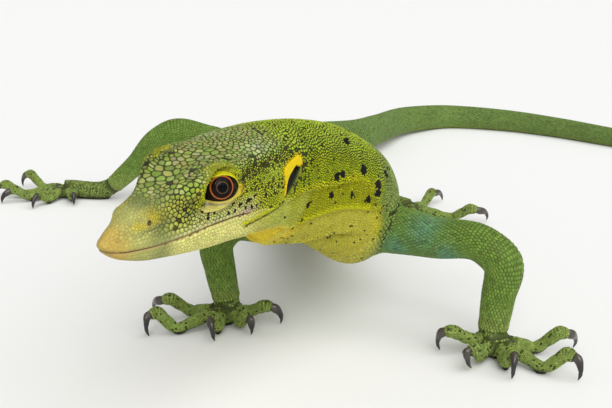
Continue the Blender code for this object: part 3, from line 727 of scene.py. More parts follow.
def setFloat(mesh, name, values):
    layer = mesh.attributes.get(name) or mesh.attributes.new(name, "FLOAT", "POINT")
    layer.data.foreach_set("value", np.asarray(values, np.float32))


def getFloat(mesh, name):
    values = np.zeros(len(mesh.vertices), np.float32)
    mesh.attributes[name].data.foreach_get("value", values)
    return values.astype(float)


def coordinates(mesh):
    values = np.zeros(len(mesh.vertices) * 3)
    mesh.vertices.foreach_get("co", values)
    return values.reshape(-1, 3) / ground["millimetre"] + ground["footprintMiddle"]


# Limbs and digits as tubes of skin

def digitCourse(rows):
    root, pad, joint, tip = (np.array(row) for row in rows)
    level = np.array((1.0, 1.0, 0.0))
    ahead = unit(unit((joint - pad) * level) + unit((tip - joint) * level))
    lastJoint, radii = digitShape["lastJoint"], digitShape["radii"]
    fleshEnd = joint + ahead * lastJoint[0] - np.array((0.0, 0.0, lastJoint[1]))
    flesh = [root, root * 0.45 + pad * 0.55, pad, pad * 0.45 + joint * 0.55, joint, fleshEnd]
    sizes = (radii[0], radii[1] * 1.05, radii[1], radii[1], radii[2], radii[3])
    course = [tuple(place) + (size,) for place, size in zip(flesh, sizes)]
    return course, fleshEnd, unit(fleshEnd - joint), ahead, tip


def limbTube(name):
    rows = limbs[name]
    length = along(rows)[-1, 0]
    shares = np.linspace(0.0, 1.0, int(length / 1.1))
    rings = tubeFrames(rows, shares, skinShape["limbSides"])[0]
    middle = rings.mean(1, keepdims=True)
    away = rings - middle
    return middle + away * (1 - skinShape["coatDepth"] / np.linalg.norm(away, axis=2, keepdims=True))


def wristTube(hand):
    middle, radius, _ = palms[hand]
    rows = limbs[limbOf[hand]]
    rings = tubeFrames(rows, np.array((0.93, 1.0)), 12)[0]
    start, end = rings[0].mean(0), rings[1].mean(0)
    leave = unit(end - start)
    wrist = rows[-1][3] - skinShape["coatDepth"]
    course = [tuple(start) + (wrist * 0.98,), tuple(end) + (wrist,), tuple(end + leave * 1.8) + (wrist,),
              tuple(np.array(middle) + (0, 0, 0.8)) + (radius * 0.7,)]
    return tubeFrames(course, np.linspace(0, 1, 12), 28)[0]


def palmBall(hand):
    middle, radius, height = palms[hand]
    thin = skinShape["coatDepth"]
    turns = np.arange(28) * 2 * math.pi / 28
    rings = []
    for tilt in np.linspace(0.06, math.pi - 0.06, 16):
        ring = np.column_stack((np.cos(turns) * math.sin(tilt) * (radius - thin),
                                np.sin(turns) * math.sin(tilt) * (radius - thin),
                                np.full(28, math.cos(tilt)) * (height - thin)))
        rings.append(np.array(middle) + ring)
    return np.array(rings)


def digitTube(rows):
    course = digitCourse(rows)[0]
    length = along(course)[-1, 0]
    shares = np.linspace(0.0, 1.0, int(length / 0.5))
    rings = tubeFrames(course, shares, skinShape["digitSides"])[0]
    middle = rings.mean(1, keepdims=True)
    knuckles = 1 + 0.05 * np.sin(shares * 9 * math.pi)
    away = (rings - middle) * knuckles[:, None, None]
    thin = 1 - skinShape["coatDepth"] * 0.7 / np.linalg.norm(away, axis=2, keepdims=True)
    return middle + away * thin


def makeSkin():
    points, faces, way, turn = bodyMesh()
    body = outward(meshObject("skin", points, faces))
    for name, values in (("way", way), ("turn", turn), ("part", np.zeros(len(points)))):
        setFloat(body.data, name, values)
    print("body cells:", len(faces))
    heap = bpy.data.collections.new("skinPieces")
    bpy.context.scene.collection.children.link(heap)
    pieces = [(limbTube(name), 1.0) for name in limbs]
    for hand, rows in digits.items():
        pieces += [(wristTube(hand), 2.0), (palmBall(hand), 2.0)]
        pieces += [(digitTube(row), 3.0) for row in rows]
    for number, (rings, part) in enumerate(pieces):
        count, sides = rings.shape[:2]
        piece = outward(meshObject(f"piece{number}", rings.reshape(-1, 3), loftFaces(count, sides)))
        for name, value in (("way", 999.0), ("turn", 2.0), ("part", part)):
            setFloat(piece.data, name, np.full(count * sides, value))
        bpy.context.scene.collection.objects.unlink(piece)
        heap.objects.link(piece)
    boolean(body, "UNION", operand_type="COLLECTION", collection=heap)
    # a box whose top is the floor cuts every sole flat
    corners = [(x, y, z) for x in (-200, 200) for y in (200, 620) for z in (-30, ground["floor"])]
    faces = [(0, 1, 3, 2), (4, 6, 7, 5), (0, 4, 5, 1), (2, 3, 7, 6), (0, 2, 6, 4), (1, 5, 7, 3)]
    floorBox = outward(meshObject("floorBox", corners, faces))
    boolean(body, "DIFFERENCE", object=floorBox)
    for piece in list(heap.objects) + [floorBox]:
        bpy.data.objects.remove(piece)
    bpy.data.collections.remove(heap)
    smoothJunctions(body.data)
    return body


def applyModifiers(body):
    seen = body.evaluated_get(bpy.context.evaluated_depsgraph_get())
    mesh = bpy.data.meshes.new_from_object(seen)
    body.modifiers.clear()
    body.data = mesh


def boolean(body, operation, **settings):
    modifier = body.modifiers.new("boolean", "BOOLEAN")
    for key, value in dict(settings, solver="MANIFOLD", operation=operation).items():
        setattr(modifier, key, value)
    applyModifiers(body)


def neighbourMean(edges, count, values):
    total = np.zeros((count,) + values.shape[1:])
    number = np.zeros(count)
    for a, b in ((edges[:, 0], edges[:, 1]), (edges[:, 1], edges[:, 0])):
        np.add.at(total, a, values[b])
        np.add.at(number, a, 1)
    return total / np.maximum(number, 1).reshape((-1,) + (1,) * (values.ndim - 1))


def smoothJunctions(mesh):
    # Soften the skin where limbs, palms and digits leave what carries them.
    count = len(mesh.vertices)
    edges = np.zeros(len(mesh.edges) * 2, int)
    mesh.edges.foreach_get("vertices", edges)
    edges = edges.reshape(-1, 2)
    part = getFloat(mesh, "part")
    crossing = part[edges[:, 0]] != part[edges[:, 1]]
    share = np.zeros(count)
    share[edges[crossing].ravel()] = 1.0
    spread = share.copy()
    for _ in range(4):
        spread = np.maximum(share, neighbourMean(edges, count, spread))
    weight = np.clip(spread * 2.0, 0, 1)[:, None]
    points = coordinates(mesh)
    low = points[:, 2] < ground["floor"] + 0.02
    for _ in range(skinShape["junctionRounds"]):
        moved = neighbourMean(edges, count, points)
        moved = points + (moved - points) * weight * 0.6
        moved[low, 2] = points[low, 2]
        points = moved
    mesh.vertices.foreach_set("co", inMetres(points).ravel())
    mesh.update()


skin = makeSkin()
skinPolygons = [tuple(polygon.vertices) for polygon in skin.data.polygons]
print("skin:", len(skin.data.vertices), "points,", len(skinPolygons), "polygons")


# Colours and where each one lies

tones = {
    "leaf": (0.14, 0.22, 0.052),
    "nape": (0.33, 0.43, 0.03),
    "neckSide": (0.28, 0.34, 0.004),
    "neckLow": (0.30, 0.31, 0.003),
    "shoulder": (0.20, 0.27, 0.055),
    "behindJaw": (0.38, 0.41, 0.06),
    "crown": (0.29, 0.325, 0.09),
    "brow": (0.29, 0.34, 0.075),
    "templePlate": (0.31, 0.38, 0.14),
    "cheek": (0.37, 0.41, 0.015),
    "loreal": (0.39, 0.41, 0.058),
    "snoutTop": (0.15, 0.18, 0.06),
    "snoutSide": (0.38, 0.38, 0.115),
    "snoutTip": (0.47, 0.345, 0.078),
    "upperLip": (0.50, 0.49, 0.2),
    "jaw": (0.62, 0.60, 0.19),
    "jawRear": (0.45, 0.44, 0.08),
    "lipEdge": (0.40, 0.25, 0.12),
    "rictus": (0.44, 0.34, 0.24),
    "yellow": (0.62, 0.46, 0.001),
    "foldYellow": (0.44, 0.45, 0.003),
    "throat": (0.70, 0.55, 0.03),
    "chest": (0.43, 0.40, 0.045),
    "lidPale": (0.52, 0.47, 0.13),
    "lilac": (0.24, 0.23, 0.22),
    "slate": (0.07, 0.08, 0.06),
    "fresh": (0.17, 0.27, 0.03),
    "ash": (0.36, 0.33, 0.20),
    # painted shade inside the nostril's opening
    "nostril": (0.07, 0.04, 0.015),
    "azure": (0.11, 0.29, 0.21),
    # near black for the real spots and lines, and for painted shade in the eye's corners and inside the
    # ear's slit
    "night": (0.006, 0.006, 0.005),
    "gapDark": (0.005, 0.0065, 0.003),
    "belly": (0.32, 0.35, 0.07),
    "limb": (0.133, 0.218, 0.036),
    "hand": (0.215, 0.29, 0.065),
    "palm": (0.03, 0.035, 0.02),
}

spots = {
    # way along, turn from the top on the left side, radius
    "neck": ((69.6, 1.27, 0.75), (70.6, 1.12, 0.5), (76.2, 0.48, 0.6), (76.4, 2.05, 0.95),
             (66.2, 2.46, 0.72), (68, 2.37, 0.6), (67.4, 2.92, 0.55), (75.2, 2.79, 0.52),
             (81.8, 2.67, 0.66), (59.4, 3.23, 0.42), (47, 3.67, 0.34)),
    "shoulder": ((83.4, 2.19, 0.8), (84.2, 2.4, 0.7), (86.5, 1.75, 0.6)),
    # way back and height on the head, radius
    "cheek": ((28.7, -2.8, 0.32), (30.9, -3.7, 0.42), (32.7, -3.4, 0.42), (33.4, -3.3, 0.4),
              (33.9, -5, 0.36), (35.4, -5, 0.4), (29.5, -4.5, 0.36), (32.3, -4.8, 0.34),
              (27.3, -4.6, 0.32), (24.9, -4.4, 0.32), (23.3, -4.6, 0.34), (21.9, -4, 0.3),
              (20.5, -4.1, 0.32), (20.7, -2.3, 0.3), (22.1, -2.9, 0.3), (23.5, -3.2, 0.3),
              (27.9, -3.7, 0.28), (34.7, -3, 0.34), (37.6, -3.1, 0.3), (36, -1.6, 0.3)),
}


def fade(colours, tone, mask):
    return colours + (np.array(tones[tone]) - colours) * np.clip(mask, 0, 1)[:, None]


def blob(*offsets):
    return np.exp(-sum((value / reach) ** 2 for value, reach in offsets))


def spotMask(way, turn, back, up, onHead):
    fold = np.minimum(turn, 10 - turn)
    mask = np.zeros(len(way))
    for group in ("neck", "shoulder"):
        for place, around, radius in spots[group]:
            lengthwise = way - place - np.where(turn > 5, 1.4, 0.0)
            sideways = (fold - around - np.where(turn > 5, 0.12, 0.0)) * acrossLength(way)
            distance = np.hypot(lengthwise / 1.12, sideways)
            mask = np.maximum(mask, ease(radius * 1.2 + 0.25, radius * 1.2 - 0.15, distance))
    for place, height, radius in spots["cheek"]:
        distance = np.hypot(back - place, up - height)
        mask = np.maximum(mask, ease(radius + 0.12, radius - 0.1, distance) * onHead)
    return mask


def streakMask(back, up):
    # The dark streak from the eye to the ear.
    line = ((30.8, 2.4), (34, 2.6), (37, 2.7), (40, 2.6), (43.5, 2.6), (46.5, 2.6), (48.6, 2.5))
    return bell(lineDistance(back, up, line)[0], 1.4)


def hide(points, way, turn, part):
    # The coat's colour, how dark its gaps are, and how readily single scales turn dark.
    back, up, out = headCoordinates(points)
    aside = abs(out)
    fold = np.minimum(turn, 10 - turn)
    onHead = (way < 62) & (part < 0.5)
    trunk = part < 0.5
    colours = np.tile(np.array(tones["leaf"]), (len(points), 1))
    dark = np.full(len(points), 0.02)

    def paint(tone, mask):
        colours[:] = fade(colours, tone, mask)

    # neck and shoulders
    edge = 84.0 + 6.0 * np.clip(fold - 2.5, 0.0, 2.5)
    neck = ease(edge + 4, edge - 3, way) * trunk
    behind = ease(102, 92, way) * trunk
    paint("shoulder", behind)
    paint("nape", neck)
    paint("neckSide", neck * ease(1.3, 2.1, fold))
    folds = [foldDistance(way, turn, row["line"]) for row in neckFolds]
    paint("neckLow", neck * (folds[0][1] > 0) * ease(1.5, 2.2, fold) * (way > 46))
    paint("foldYellow", neck * bell(folds[0][0], 0.8) * (way > 44))
    below = ease(-0.5, 0.3, folds[1][0] * np.sign(folds[1][1])) * ease(1.9, 2.6, fold)
    low = neck * below * ease(34, 40, way)
    paint("throat", low)
    paint("chest", low * ease(56, 66, way))
    paint("foldYellow", neck * bell(folds[1][0], 0.6) * ease(54, 60, way))
    under = ease(0, 1.5, folds[2][0] * np.sign(folds[2][1])) * ease(60, 70, way)
    paint("chest", neck * under * ease(2.4, 3.2, fold))
    gap = 0.95 - 0.4 * ease(84, 92, way)
    gap -= 0.5 * low + 0.45 * neck * ease(0.2, 1.2, folds[0][0] * np.sign(folds[0][1])) * (way > 46)
    dark += 0.03 * neck * ease(1.8, 0.8, fold) * ease(48, 56, way)
    # trunk and tail
    belly = ease(3.2, 4.3, fold) * (1 - neck) * trunk
    paint("belly", belly * ease(330, 240, way))
    paint("belly", 0.35 * belly)
    gap -= 0.3 * belly
    bars = ease(0.55, 0.9, np.cos((way + 3 * np.sin(fold * 2)) * 0.78)) * ease(3, 2.2, fold)
    dark += 0.4 * bars * ease(96, 112, way) * ease(210, 180, way) * trunk
    dark -= 0.02 * ease(170, 210, way)
    # head
    head_ = ease(60, 50, way) * trunk
    dark += 0.03 * head_
    onTop = head_ * ease(1.15, 0.85, fold) * ease(50, 42, way)
    paint("crown", onTop)
    gap -= 0.12 * onTop
    paint("cheek", head_ * ease(1.1, 1.4, fold) * ease(50, 46, way))
    paint("brow", blob((back - 25.5, 7), (aside - 6.6, 2.6)) * (up > 2) * head_)
    paint("templePlate", 1.3 * (blob((back - 39.2, 4.2), (aside - 6.6, 2)) * (up > 3.4) * head_))
    paint("loreal", ease(21.5, 18.5, back) * ease(1, 1.3, fold) * head_)
    paint("behindJaw", head_ * ease(38, 44, back) * ease(3, 3.3, fold))
    cheek = ease(1.3, 1.6, fold) * ease(2.9, 2.5, fold) * ease(26, 30, back)
    dark += 0.2 * head_ * cheek
    streak = streakMask(back, up) * head_ * (aside > 5)
    dark += 0.28 * streak
    # darker in front of each eye; on the head's right side, the far one, the brow is darkened as painted
    # shade
    preEyeDarkAndFarBrowShade = blob((back - 18.6, 2.6), (up + 0.4, 1.5)) * head_ * (aside > 3)
    preEyeDarkAndFarBrowShade = np.maximum(preEyeDarkAndFarBrowShade, blob((back - 24, 5.5), (out + 6.8, 2)) * head_ * (up > 2))
    dark += 0.12 * preEyeDarkAndFarBrowShade
    colours *= (1 - 0.5 * preEyeDarkAndFarBrowShade)[:, None]
    jawline = lineDistance(back, up, mouth["line"])
    lip = bell(jawline[0], 1.5) * (jawline[1] > 0) * head_ * ease(35.5, 33, back)
    paint("upperLip", lip * 1.1)
    labial = ease(17, 20, back) * ease(37, 33, back) * ease(-1.6, -3.2, up) * head_
    paint("upperLip", 0.55 * labial * ease(-7, -5, up) * ease(5, 7, aside))
    dark -= 0.3 * labial
    gap -= 0.6 * lip
    lower = ease(0.2, -0.1, jawline[0] * np.where(jawline[1] > 0, 1, -1)) * ease(-5, -5.6, up) * head_
    lower = lower * ease(2.2, 2.9, fold)
    paint("jaw", lower)
    paint("jawRear", lower * ease(31, 38, back))
    paint("behindJaw", lower * ease(36, 42, back) * ease(4.1, 3.8, fold))
    paint("neckLow", lower * ease(46, 52, back) * ease(4.1, 3.8, fold))
    paint("throat", lower * below * ease(33, 38, back))
    gap -= 0.75 * lower
    dark -= 0.2 * lower
    dark *= 1 - 0.6 * head_ * ease(1.25, 1, fold) * ease(48, 42, way)
    dark *= ease(12, 20, back)
    paint("snoutTop", ease(17, 10.5, back) * head_ * 0.85)
    paint("snoutSide", ease(12.5, 7, back) * head_ * ease(0.9, -0.6, up - 0.1 * back))
    patch = np.maximum(blob((back - 10.5, 1.9), (up + 0.9, 1.4)),
                       blob((back - 7.2, 1.6), (up + 1.9, 0.8)))
    paint("yellow", 0.55 * patch * head_ * (aside > 2))
    paint("snoutTip", ease(6.5, 2, back) * head_)
    gap -= 0.75 * ease(17, 9, back) * head_
    channel = lineDistance(back, up, mouth["groove"])
    channel = bell(channel[0], 0.3) * ease(0, 0.3, channel[2]) * head_
    paint("slate", 0.6 * channel)
    lime = blob((back - 41, 4.2), (up - 0.3, 1.4)) * head_ * (aside > 5)
    paint("nape", 0.8 * lime)
    gap -= 0.45 * lime
    dark *= 1 - 0.8 * lime
    # the ear's rim and the dark skin behind its slit
    rim, slit = earDepths(back, up, out)
    paint("yellow", ease(-0.9, 0, rim) * head_)
    dark *= 1 - ease(-0.9, 0, rim) * head_
    dark += 0.6 * ease(-1.6, 0, slit) * ease(0, -0.6, rim) * (up > -5.4) * head_
    # lids
    level, over = lidLevel(back, up)
    lids = (aside > 6) & (up > -4.8) & (way < 42)
    paint("yellow", ease(1.3, 1.05, level) * over * lids)
    around = ease(5.6, 3, level) * over * lids
    paint("foldYellow", 0.75 * around)
    gap -= 0.45 * around
    below = ease(1.25, 1, level) * (1 - over) * lids
    paint("lidPale", below)
    paint("lilac", 0.85 * bell(level - 0.36, 0.13) * (1 - over) * lids)
    behind = 0.8 * ease(26, 29.5, back) * ease(0.4, 0.6, level)
    paint("yellow", below * np.maximum(0.5 * ease(0.16, 0.08, level), behind))
    lineUnder = bell(level - 1.05, 0.07) * (1 - over) * lids
    lineOver = np.maximum(bell(level - 1.3, 0.22), 0.6 * bell(level - 0.62, 0.08))
    lineOver = lineOver * over * lids
    # near black at the opening's edge and in its corners: painted shade where the lids meet the eyeball
    edge = ease(0.03, -0.03, level) * lids
    corner = blob((back - 21.6, 0.9), (up + 1, 0.6)) + blob((back - 31.2, 0.6), (up - 2, 0.7))
    # mouth line, crease, nostril, spots
    paint("rictus", blob((back - 33.2, 2.2), (up + 5.6, 0.7)) * head_ * (aside > 5))
    groove = bell(jawline[0], 0.13) * head_ * ease(35, 33.4, back)
    groove *= 0.55 + 0.35 * ease(12, 24, back)
    paint("lipEdge", 0.8 * bell(jawline[0], 0.3) * head_ * (back < 35))
    crease = lineDistance(back, up, mouth["crease"])
    paint("foldYellow", bell(crease[0] - 0.7, 0.5) * (crease[1] > 0) * head_)
    groove = np.maximum(groove, bell(crease[0], 0.24) * head_ * (aside > 5))
    spotted = spotMask(way, turn, back, up, onHead) * trunk
    # near black: the real spots and the dark lines round the lids, mouth and crease, with painted shade in
    # the eye's corners, at the opening's edge and inside the ear's slit
    paint("night", np.maximum.reduce([
        0.85 * lineUnder, 0.6 * lineOver, 1.2 * corner * lids, edge, groove,
        ease(0.25, 0.5, spotted), ease(-0.05, 0.25, slit) * head_]))
    # the nostril's opening is painted dark: painted shade inside the hole
    paint("nostril", ease(1.25, 0.95, nostrilRing(back, up)) * head_)
    # limbs
    limb = ease(0.4, 0.9, part)
    paint("limb", limb)
    paint("hand", ease(14, 6, points[:, 2]) * limb)
    blue = np.zeros(len(points))
    for place, reach in (((29.0, 278.5, 27.5), 4.6), ((34.0, 274.5, 23.0), 3.6), ((22.0, 281.0, 22.5), 3.6)):
        blue = np.maximum(blue, bell(np.linalg.norm(points - np.array(place), axis=1), reach))
    paint("azure", 0.6 * blue * (limb + 0.6 * trunk * (way > 84)))
    gap -= 0.25 * limb * ease(8, 14, points[:, 2])
    paint("palm", ease(1.5, 0.5, points[:, 2]) * (part > 1.5))
    dark += 0.09 * (part > 1.5) - 0.012 * limb
    return colours, np.clip(gap, 0.06, 1.0), np.clip(dark, 0, 0.95)


def gapColour(colours, gap):
    gap = gap[:, None]
    return colours * np.clip(1.03 - gap, 0.85, 1.0) * (1 - gap) + np.array(tones["gapDark"]) * gap


def setColour(mesh, name, colours):
    layer = mesh.attributes.get(name) or mesh.attributes.new(name, "FLOAT_COLOR", "POINT")
    rows = np.column_stack((colours, np.ones(len(colours)))).astype(np.float32)
    layer.data.foreach_set("color", rows.ravel())


# Plates of the head and scales of the neck: cells grown from seeds spread over the skin

plates = {
    "wayRange": (-0.2, 91.0),
    "finePerSeed": 22,
    "rounds": 7,
    "neighbours": 20,
    "seed": 5,
    "perPiece": 190000,        # triangles
    "cornerCut": (0.22, 0.78),
    "rayStart": 0.7,           # a plate's border looks for the skin from this height
    "heightLimit": 0.35,
    # share of the outline, height and lightness of each ring, for small, middling and large plates
    "profiles": (((1.0, -0.12, 0.0), (0.84, 0.75, 0.9)),
                 ((1.0, -0.14, 0.0), (0.88, 0.62, 0.85)),
                 ((1.0, -0.16, 0.0), (0.97, 0.42, 0.3), (0.78, 0.92, 1.0))),
}


def plateNotes(points, way, turn):
    # Spacing, height and gap of the plates from place to place.
    back, up, out = headCoordinates(points)
    aside = abs(out)
    fold = np.minimum(turn, 10 - turn)
    size = np.full(len(points), 1.02)
    rise = np.full(len(points), 0.2)

    def mix(values, target, mask):
        return values + (target - values) * np.clip(mask, 0, 1)

    onHead = ease(50, 46, way)
    lid, _ = lidLevel(back, up)
    distance = lineDistance(back, up, ear["frontEdge"])[0]
    for target, mask in (
        (0.76, ease(50, 54, way) * ease(92, 80, way)),
        (0.62, ease(1.7, 2.4, fold) * ease(46, 52, way)),
        (0.66, ease(2.9, 3.4, fold)),
        (1.12, onHead * ease(1.1, 0.8, fold)),
        (1.75, onHead * ease(6.4, 4.4, aside) * ease(12, 16, back) * ease(35, 29, back)),
        (0.80, ease(43, 48, way) * ease(60, 52, way) * ease(1.3, 0.9, fold)),
        (0.56, onHead * ease(1.05, 1.35, fold) * ease(28, 31, back)),
        (0.62, onHead * ease(2.5, 2.9, fold) * ease(28, 31, back)),
        (1.0, onHead * ease(1, 1.3, fold) * ease(21, 19, back)),
        (0.74, onHead * ease(2.7, 3.1, fold)),
        (0.5, ease(17, 19.5, back) * ease(38, 35, back) * (up < -1.8) * (up > -5.2)
         * (aside > 5)),
        (1.5, blob((back - 38, 4.2), (aside - 6.4, 1.8)) * (up > 3.4) * 1.2),
        (0.85, blob((back - 25.5, 5.6), (aside - 8.6, 1)) * (up > 3)),
        (0.9, ease(13, 7, back)),
        (0.46, ease(5.6, 3.6, lid) * (up > -1) * (aside > 5) * (way < 40)),
        (0.55, ease(1.7, 1.4, lid) * (aside > 5) * (up > -4.6) * (way < 40)),
        (0.5, ease(3.6, 2, distance) * (aside > 5) * (way < 60)),
        (0.55, ease(2.8, 2, np.hypot(back - 9, up + 1.4)) * (aside > 2))):
        size = mix(size, target, mask)
    rise = mix(rise, 0.10, onHead)
    rise = mix(rise, 0.035, ease(17, 9, back))
    rise = mix(rise, 0.09, ease(0.7, 0.5, size))
    rise = mix(rise, 0.28, ease(50, 58, way) * ease(1.9, 1.3, fold))
    gap = 0.1 + 0.08 * ease(0.6, 1, size) * (1 - onHead) + 0.1 * ease(46, 56, way) * ease(2.4, 1.5, fold)
    gap += 0.12 * streakMask(back, up) * (aside > 5) * onHead + 0.03 * onHead * ease(1.3, 1, fold)
    gap -= 0.06 * ease(16, 9, back) + 0.04 * ease(2.6, 3.2, fold)
    gap -= 0.05 * (size < 0.52) * (up < -1.8) * onHead
    return size, rise, gap


def spreadSeeds(rng, fixed):
    step, around = 0.5, 0.05
    low, high = plates["wayRange"]
    way, turn = np.meshgrid(np.arange(low, high + 1.5, step), np.arange(0, 10, around), indexing="ij")
    way, turn = way.ravel() + step / 2, turn.ravel() + around / 2
    lengthwise = np.linalg.norm(bodyPoint(way + 0.05, turn) - bodyPoint(way - 0.05, turn), axis=1) / 0.1
    sideways = np.linalg.norm(bodyPoint(way, turn + 0.01) - bodyPoint(way, turn - 0.01), axis=1) / 0.02
    size, _, _ = plateNotes(bodyPoint(way, turn), way, turn)
    wanted = lengthwise * step * sideways * around / (0.87 * size ** 2) * plates["finePerSeed"]
    count = np.floor(wanted + rng.random(len(wanted))).astype(int)
    way = np.repeat(way, count) + (rng.random(count.sum()) - 0.5) * step
    turn = (np.repeat(turn, count) + (rng.random(count.sum()) - 0.5) * around) % 10
    points = bodyPoint(way, turn)
    free = rng.choice(len(points), len(points) // plates["finePerSeed"], replace=False)
    if len(fixed):
        near = nearby([row[0] for row in fixed])
        keep = []
        for number in free:
            _, which, distance = near.find(points[number])
            keep.append(distance > fixed[which][3])
        free = free[np.array(keep)]
    seeds = points[free]
    fixedPlaces = np.array([row[0] for row in fixed]).reshape(-1, 3)
    for _ in range(plates["rounds"]):
        every = np.vstack((seeds, fixedPlaces))
        tree = nearby(every)
        nearest = np.array([tree.find(place)[1] for place in points])
        total = np.zeros((len(every), 3))
        np.add.at(total, nearest, points)
        number = np.bincount(nearest, minlength=len(every))
        moved = total / np.maximum(number, 1)[:, None]
        good = number[:len(seeds)] > 0
        seeds = np.where(good[:, None], moved[:len(seeds)], seeds)
    tree = nearby(points)
    chosen = np.unique([tree.find(place)[1] for place in seeds])
    return way[chosen], turn[chosen]


def fixedRows():
    # Plates in rows: lips, lids and the bars over the eyes. Place, way, turn, reach.
    way, turn = np.meshgrid(np.arange(0.0, 46.0, 0.1), np.arange(0, 5, 0.012), indexing="ij")
    way, turn = way.ravel(), turn.ravel()
    points = bodyPoint(way, turn)
    back, up, out = headCoordinates(points)
    flat = nearby(np.column_stack((back, up, 0 * up)))
    wanted = []
    line = np.array(mouth["line"])
    rows = along(np.column_stack((line, np.zeros(len(line)))))
    for offset, step, stretch in ((0.62, 0.98, 1.15), (1.5, 0.95, 1.0), (-0.62, 0.95, 1.15),
                                  (-1.5, 0.9, 1.0)):
        for at in np.arange(6.8, rows[-1, 0] - (1.5 if offset > 0 else 3.5), step):
            here = between(rows[:, :3], np.array([at]))[0]
            ahead = unit(between(rows[:, :3], np.array([at + 0.3]))[0] - here)
            wanted.append((here[0] - ahead[1] * offset, here[1] + ahead[0] * offset, 0.55, ahead, stretch))
    angles = np.linspace(0, 2 * math.pi, 400, endpoint=False)
    middle = lidCorners()[0]
    for level, step in ((0.32, 0.44), (0.85, 0.48), (1.4, 0.52)):
        reach = np.full(len(angles), 4.0)
        low, high = np.zeros(len(angles)), np.full(len(angles), 14.0)
        for _ in range(24):
            reach = (low + high) / 2
            value, edge, _ = lidDistance(middle[0] + np.cos(angles) * reach,
                                         middle[1] + np.sin(angles) * reach)
            value = value - edge
            low, high = np.where(value < level, reach, low), np.where(value < level, high, reach)
        ring = np.column_stack((middle[0] + np.cos(angles) * reach, middle[1] + np.sin(angles) * reach))
        walked = 0.0
        for place, following in zip(ring, np.roll(ring, -1, 0)):
            walked += np.linalg.norm(following - place)
            if walked > step:
                walked = 0.0
                if level < 0.5 or place[1] > 1.2:
                    wanted.append((place[0], place[1], 0.3, unit(following - place), 1.15))
    fixed, notes = [], []
    for b, u, reach, ahead, stretch in wanted:
        _, number, distance = flat.find((b, u, 0.0))
        if distance > 0.3:
            continue
        for side in (1, -1):
            around = turn[number] if side > 0 else 10 - turn[number]
            place = bodyPoint(np.array([way[number]]), np.array([around]))[0]
            axis = -head["forward"] * ahead[0] + head["upward"] * ahead[1]
            fixed.append((place, way[number], around % 10, reach))
            notes.append((axis, stretch))
    # bars over the eyes, in two rows that lie across the brow
    for rowStart, rowEnd, wide in (((18.6, 5.0), (32.2, 6.4), 1.9), ((19.6, 7.2), (31.6, 8.0), 1.5)):
        for at in np.arange(0.0, 1.0, 0.06):
            b = rowStart[0] + (rowEnd[0] - rowStart[0]) * at
            o = rowStart[1] + (rowEnd[1] - rowStart[1]) * at
            near = np.where((abs(back - b) < 0.15) & (abs(out - o) < 0.1) & (turn < 1.6))[0]
            if not len(near):
                continue
            number = near[np.argmax(up[near])]
            for side in (1, -1):
                around = turn[number] if side > 0 else 10 - turn[number]
                place = bodyPoint(np.array([way[number]]), np.array([around]))[0]
                axis = head["leftward"] * side - head["forward"] * 0.35
                fixed.append((place, way[number], around % 10, 0.75))
                notes.append((unit(axis), wide))
    return fixed, notes


def clipPolygon(corners, x, y, limit):
    # Keep the part of a polygon where x, y and a corner's place multiply to less than the limit.
    kept = []
    count = len(corners)
    values = [c[0] * x + c[1] * y - limit for c in corners]
    for number in range(count):
        here, value = corners[number], values[number]
        there, other = corners[(number + 1) % count], values[(number + 1) % count]
        if value <= 0:
            kept.append(here)
        if (value < 0 < other) or (other < 0 < value):
            share = value / (value - other)
            kept.append((here[0] + (there[0] - here[0]) * share, here[1] + (there[1] - here[1]) * share))
    return kept


def borderPlanes(points, way):
    # Lines that plates end at: for each plate the way to each line and its distance.
    back, up, out = headCoordinates(points)
    flat = np.column_stack((back, up))
    planes = []
    rim = ear["frontEdge"] + ear["rim"] + ear["frontEdge"][:1]
    for line, gap in ((mouth["line"], 0.16), (mouth["crease"], 0.2), (rim, 0.05)):
        away = alongLine(flat, line)[3] - flat
        distance = np.linalg.norm(away, axis=1)
        direction = -np.outer(away[:, 0], head["forward"]) + np.outer(away[:, 1], head["upward"])
        use = (distance < 1.6) & (distance > 0.02) & (way < 62) & ((abs(out) > 2.5) | (gap == 0.16))
        planes.append((direction / np.maximum(distance, 1e-6)[:, None], distance - gap, use))
    level, _ = lidLevel(back, up)
    step = 0.05
    slopeBack = (lidLevel(back + step, up)[0] - level) / step
    slopeUp = (lidLevel(back, up + step)[0] - level) / step
    slope = np.hypot(slopeBack, slopeUp) + 1e-9
    distance = (level - 1.06) / slope
    direction = (np.outer(slopeBack / slope, head["forward"]) - np.outer(slopeUp / slope, head["upward"]))
    use = (distance < 1.6) & (abs(out) > 5.5) & (way < 42) & (up > -4.8)
    planes.append((direction, distance, use))
    return planes


def surfaceNormal(way, turn):
    lengthwise = bodySurface(way + 0.12, turn) - bodySurface(way - 0.12, turn)
    around = bodySurface(way, turn + 0.025) - bodySurface(way, turn - 0.025)
    return unit(np.cross(around, lengthwise))


